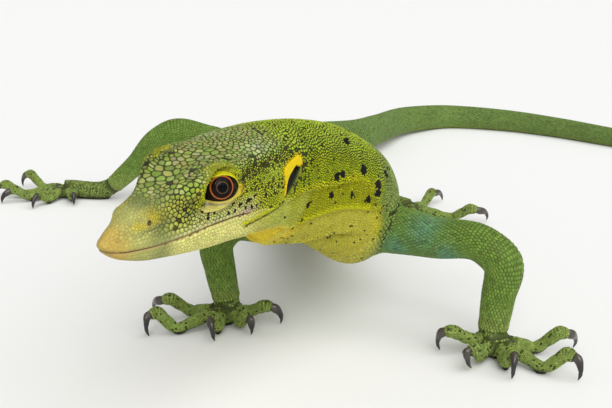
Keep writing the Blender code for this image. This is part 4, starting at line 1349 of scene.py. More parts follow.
def plateCells(rng):
    fixed, fixedNotes = fixedRows()
    freeWay, freeTurn = spreadSeeds(rng, fixed)
    way = np.concatenate((freeWay, [row[1] for row in fixed]))
    turn = np.concatenate((freeTurn, [row[2] for row in fixed]))
    places = bodySurface(way, turn)
    normals = surfaceNormal(way, turn)
    stretch = np.concatenate((np.ones(len(freeWay)), [note[1] for note in fixedNotes]))
    axis = np.vstack((np.tile((1.0, 0.0, 0.0), (len(freeWay), 1)), [note[0] for note in fixedNotes]))
    size, rise, gap = plateNotes(places, way, turn)
    planes = borderPlanes(places, way)
    back, up, out = headCoordinates(places)
    drop = (lidLevel(back, up)[0] < 1.12) & (abs(out) > 6) & (way < 42) & (up > -4.8)
    drop |= (nostrilRing(back, up) < 1.5) & (way < 20)
    rim, slit = earDepths(back, up, out)
    drop |= (np.maximum(rim, slit) > 0) & (way < 62)
    drop |= way > plates["wayRange"][1]
    tree = nearby(places)
    first = unit(np.cross(normals, np.array((0.31, 0.52, 0.79))))
    second = np.cross(normals, first)
    cells = []
    for number in np.where(~drop)[0]:
        place, u, v = places[number], first[number], second[number]
        reach = size[number] * (0.9 + 0.5 * (stretch[number] > 1.4))
        corners = [(reach * math.cos(a), reach * math.sin(a)) for a in np.arange(8) * math.pi / 4]
        for _, other, far in tree.find_n(place, plates["neighbours"]):
            if other == number or far < 0.08:
                continue
            away = places[other] - place
            change = away.copy()
            for which in (number, other):
                if stretch[which] > 1.01:
                    a = axis[which]
                    change += 0.5 * (1 / stretch[which] ** 2 - 1) * a * (a @ away)
            x, y = float(change @ u), float(change @ v)
            length = math.hypot(x, y)
            if length < 1e-6:
                continue
            limit = (x * float(away @ u) + y * float(away @ v)) / (2 * length) - gap[number] / 2
            corners = clipPolygon(corners, x / length, y / length, limit)
            if len(corners) < 3:
                break
        for direction, limit, use in planes:
            if len(corners) >= 3 and use[number]:
                x, y = float(direction[number] @ u), float(direction[number] @ v)
                length = math.hypot(x, y)
                if length > 0.3:
                    corners = clipPolygon(corners, x / length, y / length, limit[number])
        corners = tidyCorners(corners, 0.12 * size[number])
        if len(corners) >= 3:
            cells.append((number, corners))
    return cells, places, normals, first, second, way, turn, size, rise


def tidyCorners(corners, least):
    # Drop corners that lie too near the one before them.
    kept = []
    for corner in corners:
        if not kept or math.hypot(corner[0] - kept[-1][0], corner[1] - kept[-1][1]) > least:
            kept.append(corner)
    if len(kept) > 1 and math.hypot(kept[0][0] - kept[-1][0], kept[0][1] - kept[-1][1]) <= least:
        kept.pop()
    if len(kept) < 3:
        return []
    area = sum(a[0] * b[1] - b[0] * a[1] for a, b in zip(kept, kept[1:] + kept[:1])) / 2
    return kept if area > least ** 2 * 2.5 else []


def plateMeshes(skinTree):
    rng = np.random.default_rng(plates["seed"])
    cells, places, normals, first, second, way, turn, size, rise = plateCells(rng)
    print("plates:", len(cells))
    part = np.zeros(len(way))
    colours, gap, dark = hide(places, way, turn, part)
    tint = 1 + 0.15 * rng.standard_normal((len(way), 1)) + 0.05 * rng.standard_normal((len(way), 3))
    fold = np.minimum(turn, 10 - turn)
    tint = 1 + (tint - 1) * (1 - 0.6 * ease(18, 10, way) - 0.5 * ease(2.4, 3, fold))[:, None]
    mixed = ease(50, 44, way) * ease(2, 1.3, fold)
    draw = rng.random(len(way))
    share = np.where(way < 13, 0.25, 0.6) * mixed
    colours = fade(colours, "fresh", share * (draw < 0.3) * ease(8, 14, way))
    colours = fade(colours, "ash", 0.6 * share * (draw > 0.86))
    colours = colours * np.clip(tint, 0.6, 1.45)
    night = rng.random(len(way)) < dark
    colours[night] = colours[night] * 0.12 + np.array(tones["night"])
    edges = gapColour(colours, gap)
    groups = {}
    for number, corners in cells:
        large = 2 if size[number] > 1.05 else 1 if size[number] > 0.68 else 0
        groups.setdefault((len(corners), large), []).append((number, corners))
    built = []
    for (_, large), rows in sorted(groups.items()):
        numbers = np.array([number for number, _ in rows])
        outline = np.array([corners for _, corners in rows])
        built.append(platesOfOneKind(numbers, outline, large, skinTree, places, normals, first, second, rise,
                                     colours, edges, way, turn))
    return built


def platesOfOneKind(numbers, outline, large, skinTree, places, normals, first, second, rise, colours, edges,
                    way, turn):
    if large:
        following = np.roll(outline, -1, 1)
        near, far = plates["cornerCut"]
        before, after = outline * far + following * near, outline * near + following * far
        outline = np.stack((before, after), 2).reshape(len(outline), -1, 2)
    middle = outline.mean(1, keepdims=True)
    sides = outline.shape[1]
    rings = plates["profiles"][large]
    u, v, n = first[numbers][:, None], second[numbers][:, None], normals[numbers][:, None]
    base = places[numbers][:, None] + u * outline[..., :1] + v * outline[..., 1:]
    height = np.zeros(base.shape[:2])
    above, limit = plates["rayStart"], plates["heightLimit"]
    for row in range(len(base)):
        normal = Vector(normals[numbers[row]])
        for column in range(sides):
            start = Vector(base[row, column]) + normal * above
            hit = skinTree.ray_cast(start, -normal, 1.5)
            if hit[0] is not None:
                height[row, column] = above - hit[3]
    height = np.clip(height, -limit, limit)
    centreHeight = height.mean(1)
    centre = places[numbers] + first[numbers] * middle[:, 0, :1] + second[numbers] * middle[:, 0, 1:]
    lift = rise[numbers][:, None]
    layers, shades = [], []
    for scale, up, light in rings:
        offset = lift * up if up > 0 else up
        heights = (height * scale + centreHeight[:, None] * (1 - scale)) + offset
        ring = centre[:, None] + (base - centre[:, None]) * scale + n * heights[..., None]
        layers.append(ring)
        shades.append(light)
    apex = centre[:, None] + n * (centreHeight[:, None] + lift)[..., None]
    points = np.concatenate(layers + [apex], 1)
    faces = []
    for layer in range(len(rings) - 1):
        low, high = layer * sides, (layer + 1) * sides
        for k in range(sides):
            m = (k + 1) % sides
            faces.append((low + k, low + m, high + m, high + k))
    top = (len(rings) - 1) * sides
    for k in range(sides):
        faces.append((top + k, top + (k + 1) % sides, points.shape[1] - 1))
    faces.append(tuple(range(sides))[::-1])
    shade = np.concatenate([np.full(sides, light) for light in shades] + [[1.0]])
    colour = edges[numbers][:, None] + (colours[numbers] - edges[numbers])[:, None] * shade[None, :, None]
    local = [(outline - middle) * scale for scale, _, _ in rings] + [np.zeros((len(outline), 1, 2))]
    local = np.concatenate(local, 1)
    local = local / (2 * np.abs(local).max((1, 2), keepdims=True))
    root = rootUv(way[numbers], turn[numbers])
    uv = root[:, None] + local * uvPlan["patch"]
    return points, faces, colour, uv


uvPlan = {"patch": 0.003, "limb": (0.235, 0.095), "digit": (0.18, 0.04)}


def rootUv(way, turn):
    # The body's skin unrolled: the way along it in four strips, the turn across each.
    share = np.clip(way / (tailEnd + 1.0), 0, 0.9999)
    strips = np.array((0.0, 0.125, 0.33, 0.6, 1.0))
    strip = np.clip(np.searchsorted(strips, share, side="right") - 1, 0, 3)
    lengthwise = (share - strips[strip]) / (strips[strip + 1] - strips[strip])
    tall = np.array((0.2, 0.2, 0.12, 0.08))
    bottom = np.array((0.0, 0.2, 0.4, 0.52))
    across = bottom[strip] + tall[strip] * (0.02 + 0.96 * turn / 10)
    return np.column_stack((0.01 + 0.98 * lengthwise, across))


def joinedMesh(name, built):
    points, colours, uvs, sizes, loops = [], [], [], [], []
    start = 0
    for plate, faces, colour, uv in built:
        count, per = plate.shape[:2]
        offsets = start + np.arange(count)[:, None] * per
        loops.append((offsets + np.concatenate(faces)).ravel())
        sizes.append(np.tile([len(face) for face in faces], count))
        points.append(plate.reshape(-1, 3))
        colours.append(colour.reshape(-1, 3))
        uvs.append(uv.reshape(-1, 2))
        start += count * per
    points, colours, uvs = np.vstack(points), np.vstack(colours), np.vstack(uvs)
    loops, sizes = np.concatenate(loops), np.concatenate(sizes)
    mesh = bpy.data.meshes.new(name)
    mesh.vertices.add(len(points))
    mesh.vertices.foreach_set("co", inMetres(points).ravel())
    mesh.loops.add(len(loops))
    mesh.loops.foreach_set("vertex_index", loops)
    mesh.polygons.add(len(sizes))
    mesh.polygons.foreach_set("loop_start", np.concatenate(((0,), np.cumsum(sizes)[:-1])))
    mesh.update(calc_edges=True)
    mesh.validate()
    layer = mesh.uv_layers.new(name="OFBake")
    layer.data.foreach_set("uv", uvs[loops].astype(np.float32).ravel())
    setColour(mesh, "tint", np.clip(colours, 0, 1))
    mesh.shade_smooth()
    print(name, (sizes - 2).sum(), "triangles")
    return linked(name, mesh)


class Wire:
    # A socket with arithmetic, so that a material reads like a formula.
    def __init__(self, tree, socket):
        self.tree, self.socket = tree, socket

    def put(self, target, value):
        if isinstance(value, Wire):
            self.tree.links.new(value.socket, target)
        else:
            target.default_value = value

    def node(self, kind, output=0, inputs=(), **settings):
        made = self.tree.nodes.new(kind)
        for key, value in settings.items():
            setattr(made, key, value)
        for key, value in inputs:
            self.put(made.inputs[key], value)
        return Wire(self.tree, made.outputs[output])

    def maths(self, operation, first, second=0.0):
        if self.socket.type in ("RGBA", "VECTOR"):
            first, second = (value if isinstance(value, Wire) else (value,) * 3 for value in (first, second))
            return self.node("ShaderNodeVectorMath", 0, ((0, first), (1, second)), operation=operation)
        return self.node("ShaderNodeMath", 0, ((0, first), (1, second)), operation=operation)

    def __add__(self, other):
        return self.maths("ADD", self, other)

    __radd__ = __add__

    def __sub__(self, other):
        return self.maths("SUBTRACT", self, other)

    def __mul__(self, other):
        return self.maths("MULTIPLY", self, other)

    __rmul__ = __mul__

    def mix(self, first, second):
        # This factor's blend of two colours.
        return self.node("ShaderNodeMix", "Result", (("Factor", self), ("A", first), ("B", second)),
                         data_type="RGBA")


def newMaterial(name, **constants):
    # The material, a wire to start from, and the shader.
    material = bpy.data.materials.new(name)
    material.use_nodes = True
    tree = material.node_tree
    shader = tree.nodes["Principled BSDF"]
    for key, value in constants.items():
        shader.inputs[key.replace("_", " ")].default_value = value
    place = Wire(tree, tree.nodes.new("ShaderNodeTexCoord").outputs["Object"])
    return material, place, shader


coatLook = {
    "specular": 0.13,
    "mottleScale": 420.0,    # per metre
    "mottle": 0.35,
    "fineScale": 2100.0,
    "fine": 0.6,
    "grainScale": 5200.0,
    "bump": 0.00003,         # metres
    "roughness": (0.36, 0.2),
}


def named(place, name, output="Color"):
    return place.node("ShaderNodeAttribute", output, attribute_name=name)


def noise(place, scale, detail=2.0):
    return place.node("ShaderNodeTexNoise", "Fac", (("Vector", place), ("Scale", scale), ("Detail", detail)))


def coatMaterial(name, colour):
    material, place, shader = newMaterial(name)
    shader.inputs["Specular IOR Level"].default_value = coatLook["specular"]
    tint = colour(place)
    mottle = noise(place, coatLook["mottleScale"])
    fine, grain = noise(place, coatLook["fineScale"]), noise(place, coatLook["grainScale"])
    shade = mottle * coatLook["mottle"] + (1 - coatLook["mottle"] / 2)
    shade = shade * (fine * coatLook["fine"] + (1 - coatLook["fine"] / 2))
    place.put(shader.inputs["Base Color"], tint * shade)
    place.put(shader.inputs["Roughness"], grain * coatLook["roughness"][1] + coatLook["roughness"][0])
    bump = place.node("ShaderNodeBump", "Normal", (("Height", grain), ("Distance", coatLook["bump"])))
    place.put(shader.inputs["Normal"], bump)
    return material


def colourSkin(body):
    mesh = body.data
    way, part = getFloat(mesh, "way"), getFloat(mesh, "part")
    turn = getFloat(mesh, "turn")
    points = coordinates(mesh)
    colours, gap, _ = hide(points, np.where(way > 800, 999.0, way), turn, part)
    back, up, out = headCoordinates(points)
    bare = ease(1.4, 1.1, lidLevel(back, up)[0]) * (abs(out) > 6) * (way < 42) * (up > -4.8)
    jawline = lineDistance(back, up, mouth["line"])[0]
    bare = np.maximum(bare, ease(0.4, 0.2, jawline) * (way < 40))
    top, under = colours, gapColour(colours, gap)
    colours = under + (top - under) * bare[:, None]
    rim, slit = earDepths(back, up, out)
    bare = np.where(way < 62, ease(-0.15, 0, np.maximum(rim, slit)), 0.0)
    colours += (top - colours) * bare[:, None]
    setColour(mesh, "tint", np.clip(colours, 0, 1))


colourSkin(skin)
skin.data.shade_smooth()
skin.data.materials.clear()
skin.data.materials.append(coatMaterial("skinBetween", lambda place: named(place, "tint")))
fleshNodes = [name for name in frame["nodes"] if not name.startswith(("eye_", "claw_"))]
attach(skin, "root")
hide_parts(*fleshNodes)

skinTree = BVHTree.FromPolygons(coordinates(skin.data).tolist(), skinPolygons)
platesBuilt = plateMeshes(skinTree)
plateMaterial = coatMaterial("plateHorn", lambda place: named(place, "tint"))
heaps, running = [[]], 0
for built in platesBuilt:
    weight = len(built[0]) * sum(len(face) - 2 for face in built[1])
    if running + weight > plates["perPiece"]:
        heaps.append([])
        running = 0
    heaps[-1].append(built)
    running += weight
for number, heap in enumerate(heaps):
    body = joinedMesh(f"plates{number + 1}", heap)
    body.data.materials.append(plateMaterial)
    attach(body, "root")


# Scales of the trunk, tail and limbs: one dome set on many roots

scales = {
    "start": 90.6,
    "seed": 11,
    "away": 0.55,        # roots further than this from the skin are dropped
    "perPiece": 8600,
    "rowStep": 0.84,     # share of a scale's length from row to row
    "apart": (0.42, 0.68),
    "cell": 0.7,
    "tubeSides": 72,
    # length, width and height
    "trunk": (1.12, 1.02, 0.24),
    "tailTip": (0.85, 0.55, 0.14),
    "limb": (0.92, 0.84, 0.2),
    "digit": (0.62, 0.60, 0.13),
    "overlap": (1.1, 1.06, 1),
    "fill": 52000,
}


def scaleRow(where, facing, lie, sizes, root, part, way, turn):
    count = len(where)
    return where, facing, lie, np.tile(sizes, (count, 1)), root, np.full(count, part), way, turn


def bodyRows(rng):
    rows = []
    way, odd = scales["start"], 0
    while way < tailEnd - 1.0:
        share = ease(240, 560, way)
        trunk, tip = np.array(scales["trunk"]), np.array(scales["tailTip"])
        sizes = trunk + (tip - trunk) * share
        girth = acrossLength(np.array([way]))[0] * 10
        count = max(9, int(round(girth / sizes[1])))
        sizes[1] = girth / count
        turn = (np.arange(count) + 0.5 * odd + 0.18 * (rng.random(count) - 0.5)) * 10 / count % 10
        ways = way + 0.14 * (rng.random(count) - 0.5)
        where = bodySurface(ways, turn)
        facing = bodyNormal(ways, turn)
        lie = unit(bodyPoint(ways + 0.2, turn) - bodyPoint(ways - 0.2, turn))
        rows.append(scaleRow(where, facing, lie, sizes, rootUv(ways, turn), 0.0, ways, turn))
        way += sizes[0] * scales["rowStep"]
        odd = 1 - odd
    return rows


def tubeRows(course, kind, part, root, rng, start=0.0):
    # Staggered rows of scales along a round limb or digit.
    long, wide, tall = scales[kind]
    length = along(course)[-1, 0]
    shares = np.arange(start, 1.0, long * scales["rowStep"] / length)
    sides = scales["tubeSides"]
    rings, _, back, radii = tubeFrames(course, shares, sides)
    rows = []
    for number, (ring, direction, radius) in enumerate(zip(rings, back, radii)):
        count = max(7, int(round(2 * math.pi * radius / wide)))
        turn = (np.arange(count) + 0.5 * (number % 2) + 0.15 * (rng.random(count) - 0.5)) / count % 1.0
        middle = ring.mean(0)
        low = np.floor(turn * sides).astype(int) % sides
        t = (turn * sides - np.floor(turn * sides))[:, None]
        facing = unit(ring[low] * (1 - t) + ring[(low + 1) % sides] * t - middle)
        where = middle + facing * (radius - skinShape["coatDepth"])
        sizes = (long, 2 * math.pi * radius / count, tall)
        uv = root + np.column_stack((np.full(count, shares[number]), turn)) * uvPlan[kind]
        nothing, lie = np.full(count, 999.0), np.tile(direction, (count, 1))
        rows.append(scaleRow(where, facing, lie, sizes, uv, part, nothing, turn * 10))
    return rows


def fillRoots(mesh, rows, rng):
    # Roots wherever the rows leave the skin bare, such as palms and the places where limbs start.
    mesh.calc_loop_triangles()
    corners = np.zeros(len(mesh.loop_triangles) * 3, int)
    mesh.loop_triangles.foreach_get("vertices", corners)
    corners = corners.reshape(-1, 3)
    points = coordinates(mesh)
    way, part = getFloat(mesh, "way"), getFloat(mesh, "part")
    turn = getFloat(mesh, "turn")
    a, b, c = (points[corners[:, k]] for k in range(3))
    normals = np.cross(b - a, c - a)
    area = np.linalg.norm(normals, axis=1) / 2
    share = area * (way[corners].min(1) > scales["start"])
    partHere = part[corners].max(1)
    share = share * np.where(partHere > 1.5, 3.0, 1.0) * (a[:, 2] > 0.05)
    chosen = rng.choice(len(corners), scales["fill"], p=share / share.sum())
    u, v = rng.random(scales["fill"]), rng.random(scales["fill"])
    u, v = np.where(u + v > 1, 1 - u, u), np.where(u + v > 1, 1 - v, v)
    where = a[chosen] + (b - a)[chosen] * u[:, None] + (c - a)[chosen] * v[:, None]
    facing = unit(normals[chosen])
    tree = nearby(np.concatenate([row[0] for row in rows]))
    lies = np.concatenate([row[2] for row in rows])
    apart = np.where(partHere[chosen] > 1.5, *scales["apart"])
    taken = {}
    kept, lie = [], []
    for number in range(len(where)):
        place = where[number]
        _, nearest, distance = tree.find(place)
        if distance < apart[number]:
            continue
        cell = tuple(np.floor(place / scales["cell"]).astype(int))
        near = [other for dx in (-1, 0, 1) for dy in (-1, 0, 1) for dz in (-1, 0, 1)
                for other in taken.get((cell[0] + dx, cell[1] + dy, cell[2] + dz), ())]
        if any(np.linalg.norm(where[other] - place) < apart[number] * 1.15 for other in near):
            continue
        taken.setdefault(cell, []).append(number)
        kept.append(number)
        lie.append(lies[nearest])
    kept = np.array(kept)
    fine = partHere[chosen][kept] > 1.5
    sizes = np.where(fine[:, None], [scales["digit"]], [scales["limb"]])
    spot = where[kept]
    uv = np.column_stack((0.02 + 0.96 * (spot[:, 0] + 120) / 260 % 1, 0.90 + 0.09 * (spot[:, 1] % 10) / 10))
    parts = np.where(fine, 2.0, 1.0)
    parts = np.where((way[corners].min(1) < 800)[chosen][kept], 0.0, parts)
    ways = way[corners].mean(1)[chosen][kept]
    turns = turn[corners].mean(1)[chosen][kept]
    return (spot, facing[kept], np.array(lie), sizes, uv, parts, ways, turns)


def scaleDome():
    # A low closed dome one unit across, with how light each point is and its place in its patch.
    turns = np.arange(6) * math.pi / 3 + math.pi / 6
    rim = np.column_stack((np.cos(turns), np.sin(turns)))
    rim = rim / np.abs(rim).max(0) * 0.5
    rim[:, 0] *= 1.12
    points = [(x * 0.97, y * 0.97, -0.6) for x, y in rim]
    points += [(x * 0.80 - 0.02, y * 0.80, 0.62) for x, y in rim] + [(-0.06, 0, 1)]
    faces = [(k, (k + 1) % 6, 6 + (k + 1) % 6, 6 + k) for k in range(6)]
    faces += [(6 + k, 6 + (k + 1) % 6, 12) for k in range(6)] + [tuple(range(6))[::-1]]
    dome = meshObject("scaleDome", np.array(points), faces, scaled=False)
    setFloat(dome.data, "light", [0.0] * 6 + [0.9] * 6 + [1.0])
    setVector(dome.data, "patch", np.array([(x * 0.8, y) for x, y, _ in points]), "FLOAT2")
    dome.data.shade_smooth()
    return dome


def scaleTree(dome, material):
    # Set the dome on every root by its facing and lie, then note its patch of the map.
    tree = bpy.data.node_groups.new("scalesOnRoots", "GeometryNodeTree")
    sockets = (("Geometry", "INPUT", "Geometry"), ("Patch size", "INPUT", "Float"),
               ("Geometry", "OUTPUT", "Geometry"))
    _, patchSize, _ = (tree.interface.new_socket(name, in_out=way, socket_type="NodeSocket" + kind)
                       for name, way, kind in sockets)
    begin, end = tree.nodes.new("NodeGroupInput"), tree.nodes.new("NodeGroupOutput")
    roots, patch = Wire(tree, begin.outputs["Geometry"]), Wire(tree, begin.outputs["Patch size"])

    def field(name):
        return roots.node("GeometryNodeInputNamedAttribute", "Attribute", (("Name", name),),
                          data_type="FLOAT_VECTOR")

    source = roots.node("GeometryNodeObjectInfo", "Geometry", (("Object", dome),))
    turn = roots.node("FunctionNodeAxesToRotation", "Rotation",
                      (("Primary Axis", field("facing")), ("Secondary Axis", field("lie"))),
                      primary_axis="Z", secondary_axis="X")
    placed = roots.node("GeometryNodeInstanceOnPoints", "Instances", (
        ("Points", roots), ("Instance", source), ("Rotation", turn), ("Scale", field("sizes"))))
    solid = roots.node("GeometryNodeRealizeInstances", "Geometry", (("Geometry", placed),))
    grown = roots.node("ShaderNodeVectorMath", "Vector", ((0, field("patch")), ("Scale", patch)),
                       operation="SCALE")
    corner = roots.node("ShaderNodeVectorMath", "Vector", ((0, field("rootUv")), (1, grown)),
                        operation="ADD")
    mapped = roots.node("GeometryNodeStoreNamedAttribute", "Geometry", (
        ("Geometry", solid), ("Name", "OFBake"), ("Value", corner)), data_type="FLOAT2", domain="CORNER")
    dressed = roots.node("GeometryNodeSetMaterial", "Geometry", (
        ("Geometry", mapped), ("Material", material)))
    tree.links.new(dressed.socket, end.inputs["Geometry"])
    return tree, patchSize.identifier


def makeScales(skinTree):
    rng = np.random.default_rng(scales["seed"])
    rows = bodyRows(rng)
    for number, course in enumerate(limbs.values()):
        rows += tubeRows(course, "limb", 1.0, (0.02 + 0.245 * number, 0.61), rng, 0.1)
    for number, digitRows in enumerate(digits.values()):
        for finger, digit in enumerate(digitRows):
            course = digitCourse(digit)[0]
            rows += tubeRows(course, "digit", 3.0, (0.02 + 0.19 * finger, 0.71 + 0.045 * number), rng, 0.12)
    joined = [np.concatenate([row[k] for row in rows]) for k in range(8)]
    keep = np.zeros(len(joined[0]), bool)
    places = joined[0].copy()
    for number, (place, facing) in enumerate(zip(joined[0], joined[1])):
        found, normal, _, distance = skinTree.find_nearest(place)
        if distance < scales["away"] and normal.dot(Vector(facing)) > 0.35 and found[2] > 0.03:
            keep[number] = True
            places[number] = found
    joined[0] = places
    joined = [values[keep] for values in joined]
    extra = fillRoots(skin.data, [tuple(joined)], rng)
    joined = [np.concatenate((values, more)) for values, more in zip(joined, extra)]
    where, facing, lie, sizes, uv, part, way, turn = joined
    print("scales:", len(where))
    colours, gap, dark = hide(where, way, turn, part)
    tint = 1 + 0.13 * rng.standard_normal((len(where), 1)) + 0.04 * rng.standard_normal((len(where), 3))
    colours = colours * np.clip(tint, 0.6, 1.4)
    night = rng.random(len(where)) < dark
    colours[night] = colours[night] * 0.15 + np.array(tones["night"])
    edges = gapColour(colours, gap)
    dome = scaleDome()
    material = coatMaterial("scaleHorn", lambda place: named(place, "light", "Fac").mix(
        named(place, "edge"), named(place, "top")))
    tree, patchInput = scaleTree(dome, material)
    order = np.lexsort((way, part))
    for piece, chosen in enumerate(np.array_split(order, int(math.ceil(len(order) / scales["perPiece"])))):
        mesh = bpy.data.meshes.new(f"scales{piece + 1}")
        mesh.vertices.add(len(chosen))
        mesh.vertices.foreach_set("co", inMetres(where[chosen]).ravel())
        for name, values in (("facing", facing), ("lie", lie),
                             ("sizes", sizes * np.array(scales["overlap"]) * ground["millimetre"]),
                             ("rootUv", np.column_stack((uv, np.zeros(len(uv)))))):
            setVector(mesh, name, values[chosen])
        setColour(mesh, "top", np.clip(colours[chosen], 0, 1))
        setColour(mesh, "edge", np.clip(edges[chosen], 0, 1))
        body = linked(f"scales{piece + 1}", mesh)
        modifier = body.modifiers.new("scales", "NODES")
        modifier.node_group = tree
        modifier[patchInput] = uvPlan["patch"]
        applyModifiers(body)
        for name in ("facing", "lie", "sizes", "rootUv", "patch"):
            if body.data.attributes.get(name):
                body.data.attributes.remove(body.data.attributes[name])
        body.data.shade_smooth()
        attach(body, "root")
    bpy.data.objects.remove(dome)


makeScales(skinTree)


# Eyes

def makeEyes():
    # A ball whose rings start at the pupil's middle; "ring" is the distance from there.
    gaze, material, sides = unit(np.array(eye["gaze"])), eyeMaterial(), eye["sides"]
    for side, name in ((1, "left"), (-1, "right")):
        middle = headPlace(*eye["place"][:2], eye["place"][2] * side)
        ahead = head["forward"] * gaze[0] + head["upward"] * gaze[1] + head["leftward"] * gaze[2] * side
        aside = unit(np.cross(ahead, np.array((0, 0, 1))))
        above = np.cross(ahead, aside)
        tilts = np.radians(np.concatenate((np.linspace(0.5, 60, 60), np.linspace(64, 176, 24))))
        turns = np.arange(sides) * 2 * math.pi / sides
        rings = []
        for tilt in tilts:
            degrees = math.degrees(tilt)
            bulge = 1 + 0.045 * ease(44, 20, np.array(degrees))
            out = np.outer(np.cos(turns), aside) + np.outer(np.sin(turns), above)
            rings.append(middle + eye["radius"] * bulge * (ahead * math.cos(tilt) + out * math.sin(tilt)))
        rings = np.array(rings)
        ball = outward(meshObject(f"eyeball_{name}", rings.reshape(-1, 3), loftFaces(len(tilts), sides)))
        radii = np.where(tilts < math.pi / 2, np.sin(tilts) * eye["radius"], eye["radius"])
        setFloat(ball.data, "ring", np.repeat(radii, sides))
        ball.data.shade_smooth()
        ball.data.materials.append(material)
        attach(ball, "root")
        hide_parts("eye_" + name)


eyeTones = {
    "pupil": (0.002, 0.002, 0.003),
    "iris": (0.008, 0.004, 0.003),
    "goldRing": (0.16, 0.09, 0.035),
    "orangeRing": (0.44, 0.11, 0.02),
    "outer": (0.008, 0.005, 0.004),
    "goldSize": 1.1,       # radii in millimetres
    "wobble": 0.05,
}


def eyeMaterial():
    material, place, shader = newMaterial("eyeGloss", Roughness=0.4, Coat_Weight=0.12, Coat_Roughness=0.03)
    shader.inputs["Specular IOR Level"].default_value = 0.02
    size = named(place, "ring", "Fac") + (noise(place, 1500.0) - 0.5) * eyeTones["wobble"]
    pupil, gold, orange = eye["pupilRadius"], eyeTones["goldSize"], eye["irisRadius"]
    stops = ((0.0, "pupil"), (pupil - 0.05, "pupil"), (pupil + 0.07, "iris"), (gold - 0.09, "iris"),
             (gold, "goldRing"), (gold + 0.09, "iris"), (orange - 0.26, "iris"),
             (orange - 0.12, "orangeRing"), (orange, "orangeRing"), (orange + 0.12, "outer"))
    reach = 4.0
    ramp = place.tree.nodes.new("ShaderNodeValToRGB")
    elements = ramp.color_ramp.elements
    while len(elements) < len(stops):
        elements.new(0.5)
    for element, (radius, tone) in zip(elements, stops):
        element.position = radius / reach
        element.color = (*eyeTones[tone], 1.0)
    place.put(ramp.inputs["Fac"], size * (1 / reach))
    radial = noise(place, 2600.0, 3.0)
    place.put(shader.inputs["Base Color"], Wire(place.tree, ramp.outputs["Color"]) * (radial * 0.8 + 0.6))
    return material


makeEyes()
print("eyes made")


# Claws

claws = {
    "colourRoot": (0.055, 0.045, 0.035),
    "colourTip": (0.012, 0.010, 0.009),
    "sides": 20,
    "rings": 26,
    "flatten": 0.78,
}


def clawCourse(rows):
    _, fleshEnd, leave, ahead, tip = digitCourse(rows)
    start = fleshEnd + leave * digitShape["gap"]
    reach = np.linalg.norm(tip - start)
    bow = (start + tip) / 2 + ahead * reach * 0.16 + np.array((0.0, 0.0, reach * 0.12))
    radii = digitShape["claw"]
    root = fleshEnd - leave * 0.7
    low = bow * 0.42 + tip * 0.58 + ahead * reach * 0.06
    return [(*root, radii[0] * 0.75), (*(start + leave * 0.5), radii[0] * 0.98),
            (*bow, radii[1] * 0.86), (*low, radii[1] * 0.5), (*tip, 0.12)]


def clawMaterial():
    material, place, shader = newMaterial("clawHorn", Roughness=0.3, Coat_Weight=0.25)
    share = named(place, "share", "Fac") + (noise(place, 1800.0) - 0.5) * 0.3
    place.put(shader.inputs["Base Color"], share.mix((*claws["colourRoot"], 1), (*claws["colourTip"], 1)))
    return material


def makeClaws():
    material = clawMaterial()
    for hand, rows in digits.items():
        for number, row in enumerate(rows, 1):
            course = clawCourse(row)
            shares = np.linspace(0.0, 1.0, claws["rings"])
            rings, _, back, _ = tubeFrames(course, shares, claws["sides"])
            middle = rings.mean(1, keepdims=True)
            side = unit(np.cross(back, np.array((0, 0, 1))))[:, None]
            away = rings - middle
            rings = middle + away - side * (away * side).sum(2, keepdims=True) * (1 - claws["flatten"])
            name = f"{hand}_{number}"
            faces = loftFaces(len(shares), claws["sides"])
            claw = outward(meshObject("nail_" + name, rings.reshape(-1, 3), faces))
            setFloat(claw.data, "share", np.repeat(ease(0.15, 0.55, shares), claws["sides"]))
            claw.data.shade_smooth()
            claw.data.materials.append(material)
            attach(claw, "root")
            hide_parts("claw_" + name)


makeClaws()
print("claws made")


# Stage, light and camera

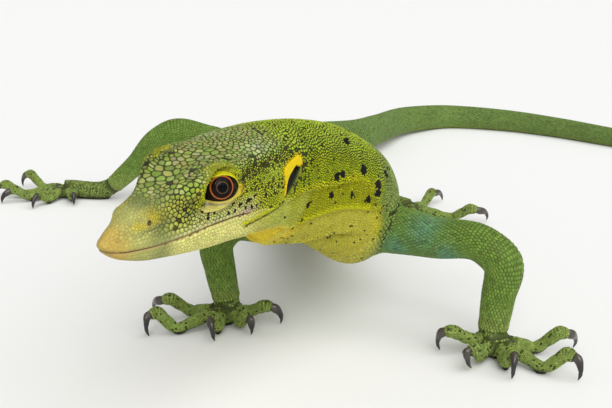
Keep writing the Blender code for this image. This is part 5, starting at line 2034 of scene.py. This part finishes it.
stage = {
    "cameraHeight": 109.0,
    "cameraPitch": 15.0,
    "focal": 1200.0,
    "frameWidth": 612.0,
    "sensorWidth": 36.0,
    "floorColour": (0.87, 0.87, 0.86, 1.0),
    "worldColour": (1.0, 0.995, 0.985, 1.0),
    "worldStrength": 0.43,
    # way towards the light, its spread in degrees, strength
    "suns": (("softbox", (0.45, -0.45, 0.77), 70.0, 1.75), ("front", (0.08, -0.84, 0.53), 40.0, 1.25),
             ("window", (-0.145, -0.86, 0.489), 7.0, 0.2)),
}


def toFrame(place):
    return Vector(inMetres(place))


def makeCamera():
    data = bpy.data.cameras.new("camera")
    data.sensor_width = stage["sensorWidth"]
    data.lens = stage["focal"] * stage["sensorWidth"] / stage["frameWidth"]
    data.clip_start = 0.01
    data.clip_end = 20.0
    camera = linked("camera", data)
    camera.location = toFrame((0.0, 0.0, stage["cameraHeight"]))
    camera.rotation_euler = (math.radians(90.0 - stage["cameraPitch"]), 0.0, 0.0)
    bpy.context.scene.camera = camera


def addLight(name, kind, place, target, **settings):
    data = bpy.data.lights.new(name, kind)
    for key, value in settings.items():
        setattr(data, key, value)
    lamp = linked(name, data)
    lamp.location = toFrame(place)
    lamp.rotation_mode = "QUATERNION"
    lamp.rotation_quaternion = (toFrame(target) - lamp.location).to_track_quat("-Z", "Y")


def makeStage():
    reach = 6.0
    level = -0.0002
    floor = meshObject("floor", [(-reach, -reach, level), (reach, -reach, level), (reach, reach, level),
                                 (-reach, reach, level)], [(0, 1, 2, 3)], scaled=False)
    material = bpy.data.materials.new("paleFloor")
    material.use_nodes = True
    shader = material.node_tree.nodes["Principled BSDF"]
    shader.inputs["Base Color"].default_value = stage["floorColour"]
    shader.inputs["Roughness"].default_value = 0.9
    shader.inputs["Specular IOR Level"].default_value = 0.1
    floor.data.materials.append(material)
    world = bpy.data.worlds.new("studio")
    world.use_nodes = True
    world.node_tree.nodes["Background"].inputs["Color"].default_value = stage["worldColour"]
    world.node_tree.nodes["Background"].inputs["Strength"].default_value = stage["worldStrength"]
    bpy.context.scene.world = world
    middle = np.array((0.0, 310.0, 30.0))
    for name, way, spread, strength in stage["suns"]:
        addLight(name, "SUN", middle + 600 * np.array(way), middle, angle=math.radians(spread),
                 energy=strength)


bpy.context.scene.view_settings.view_transform = "Standard"
makeCamera()
makeStage()
print("stage set")
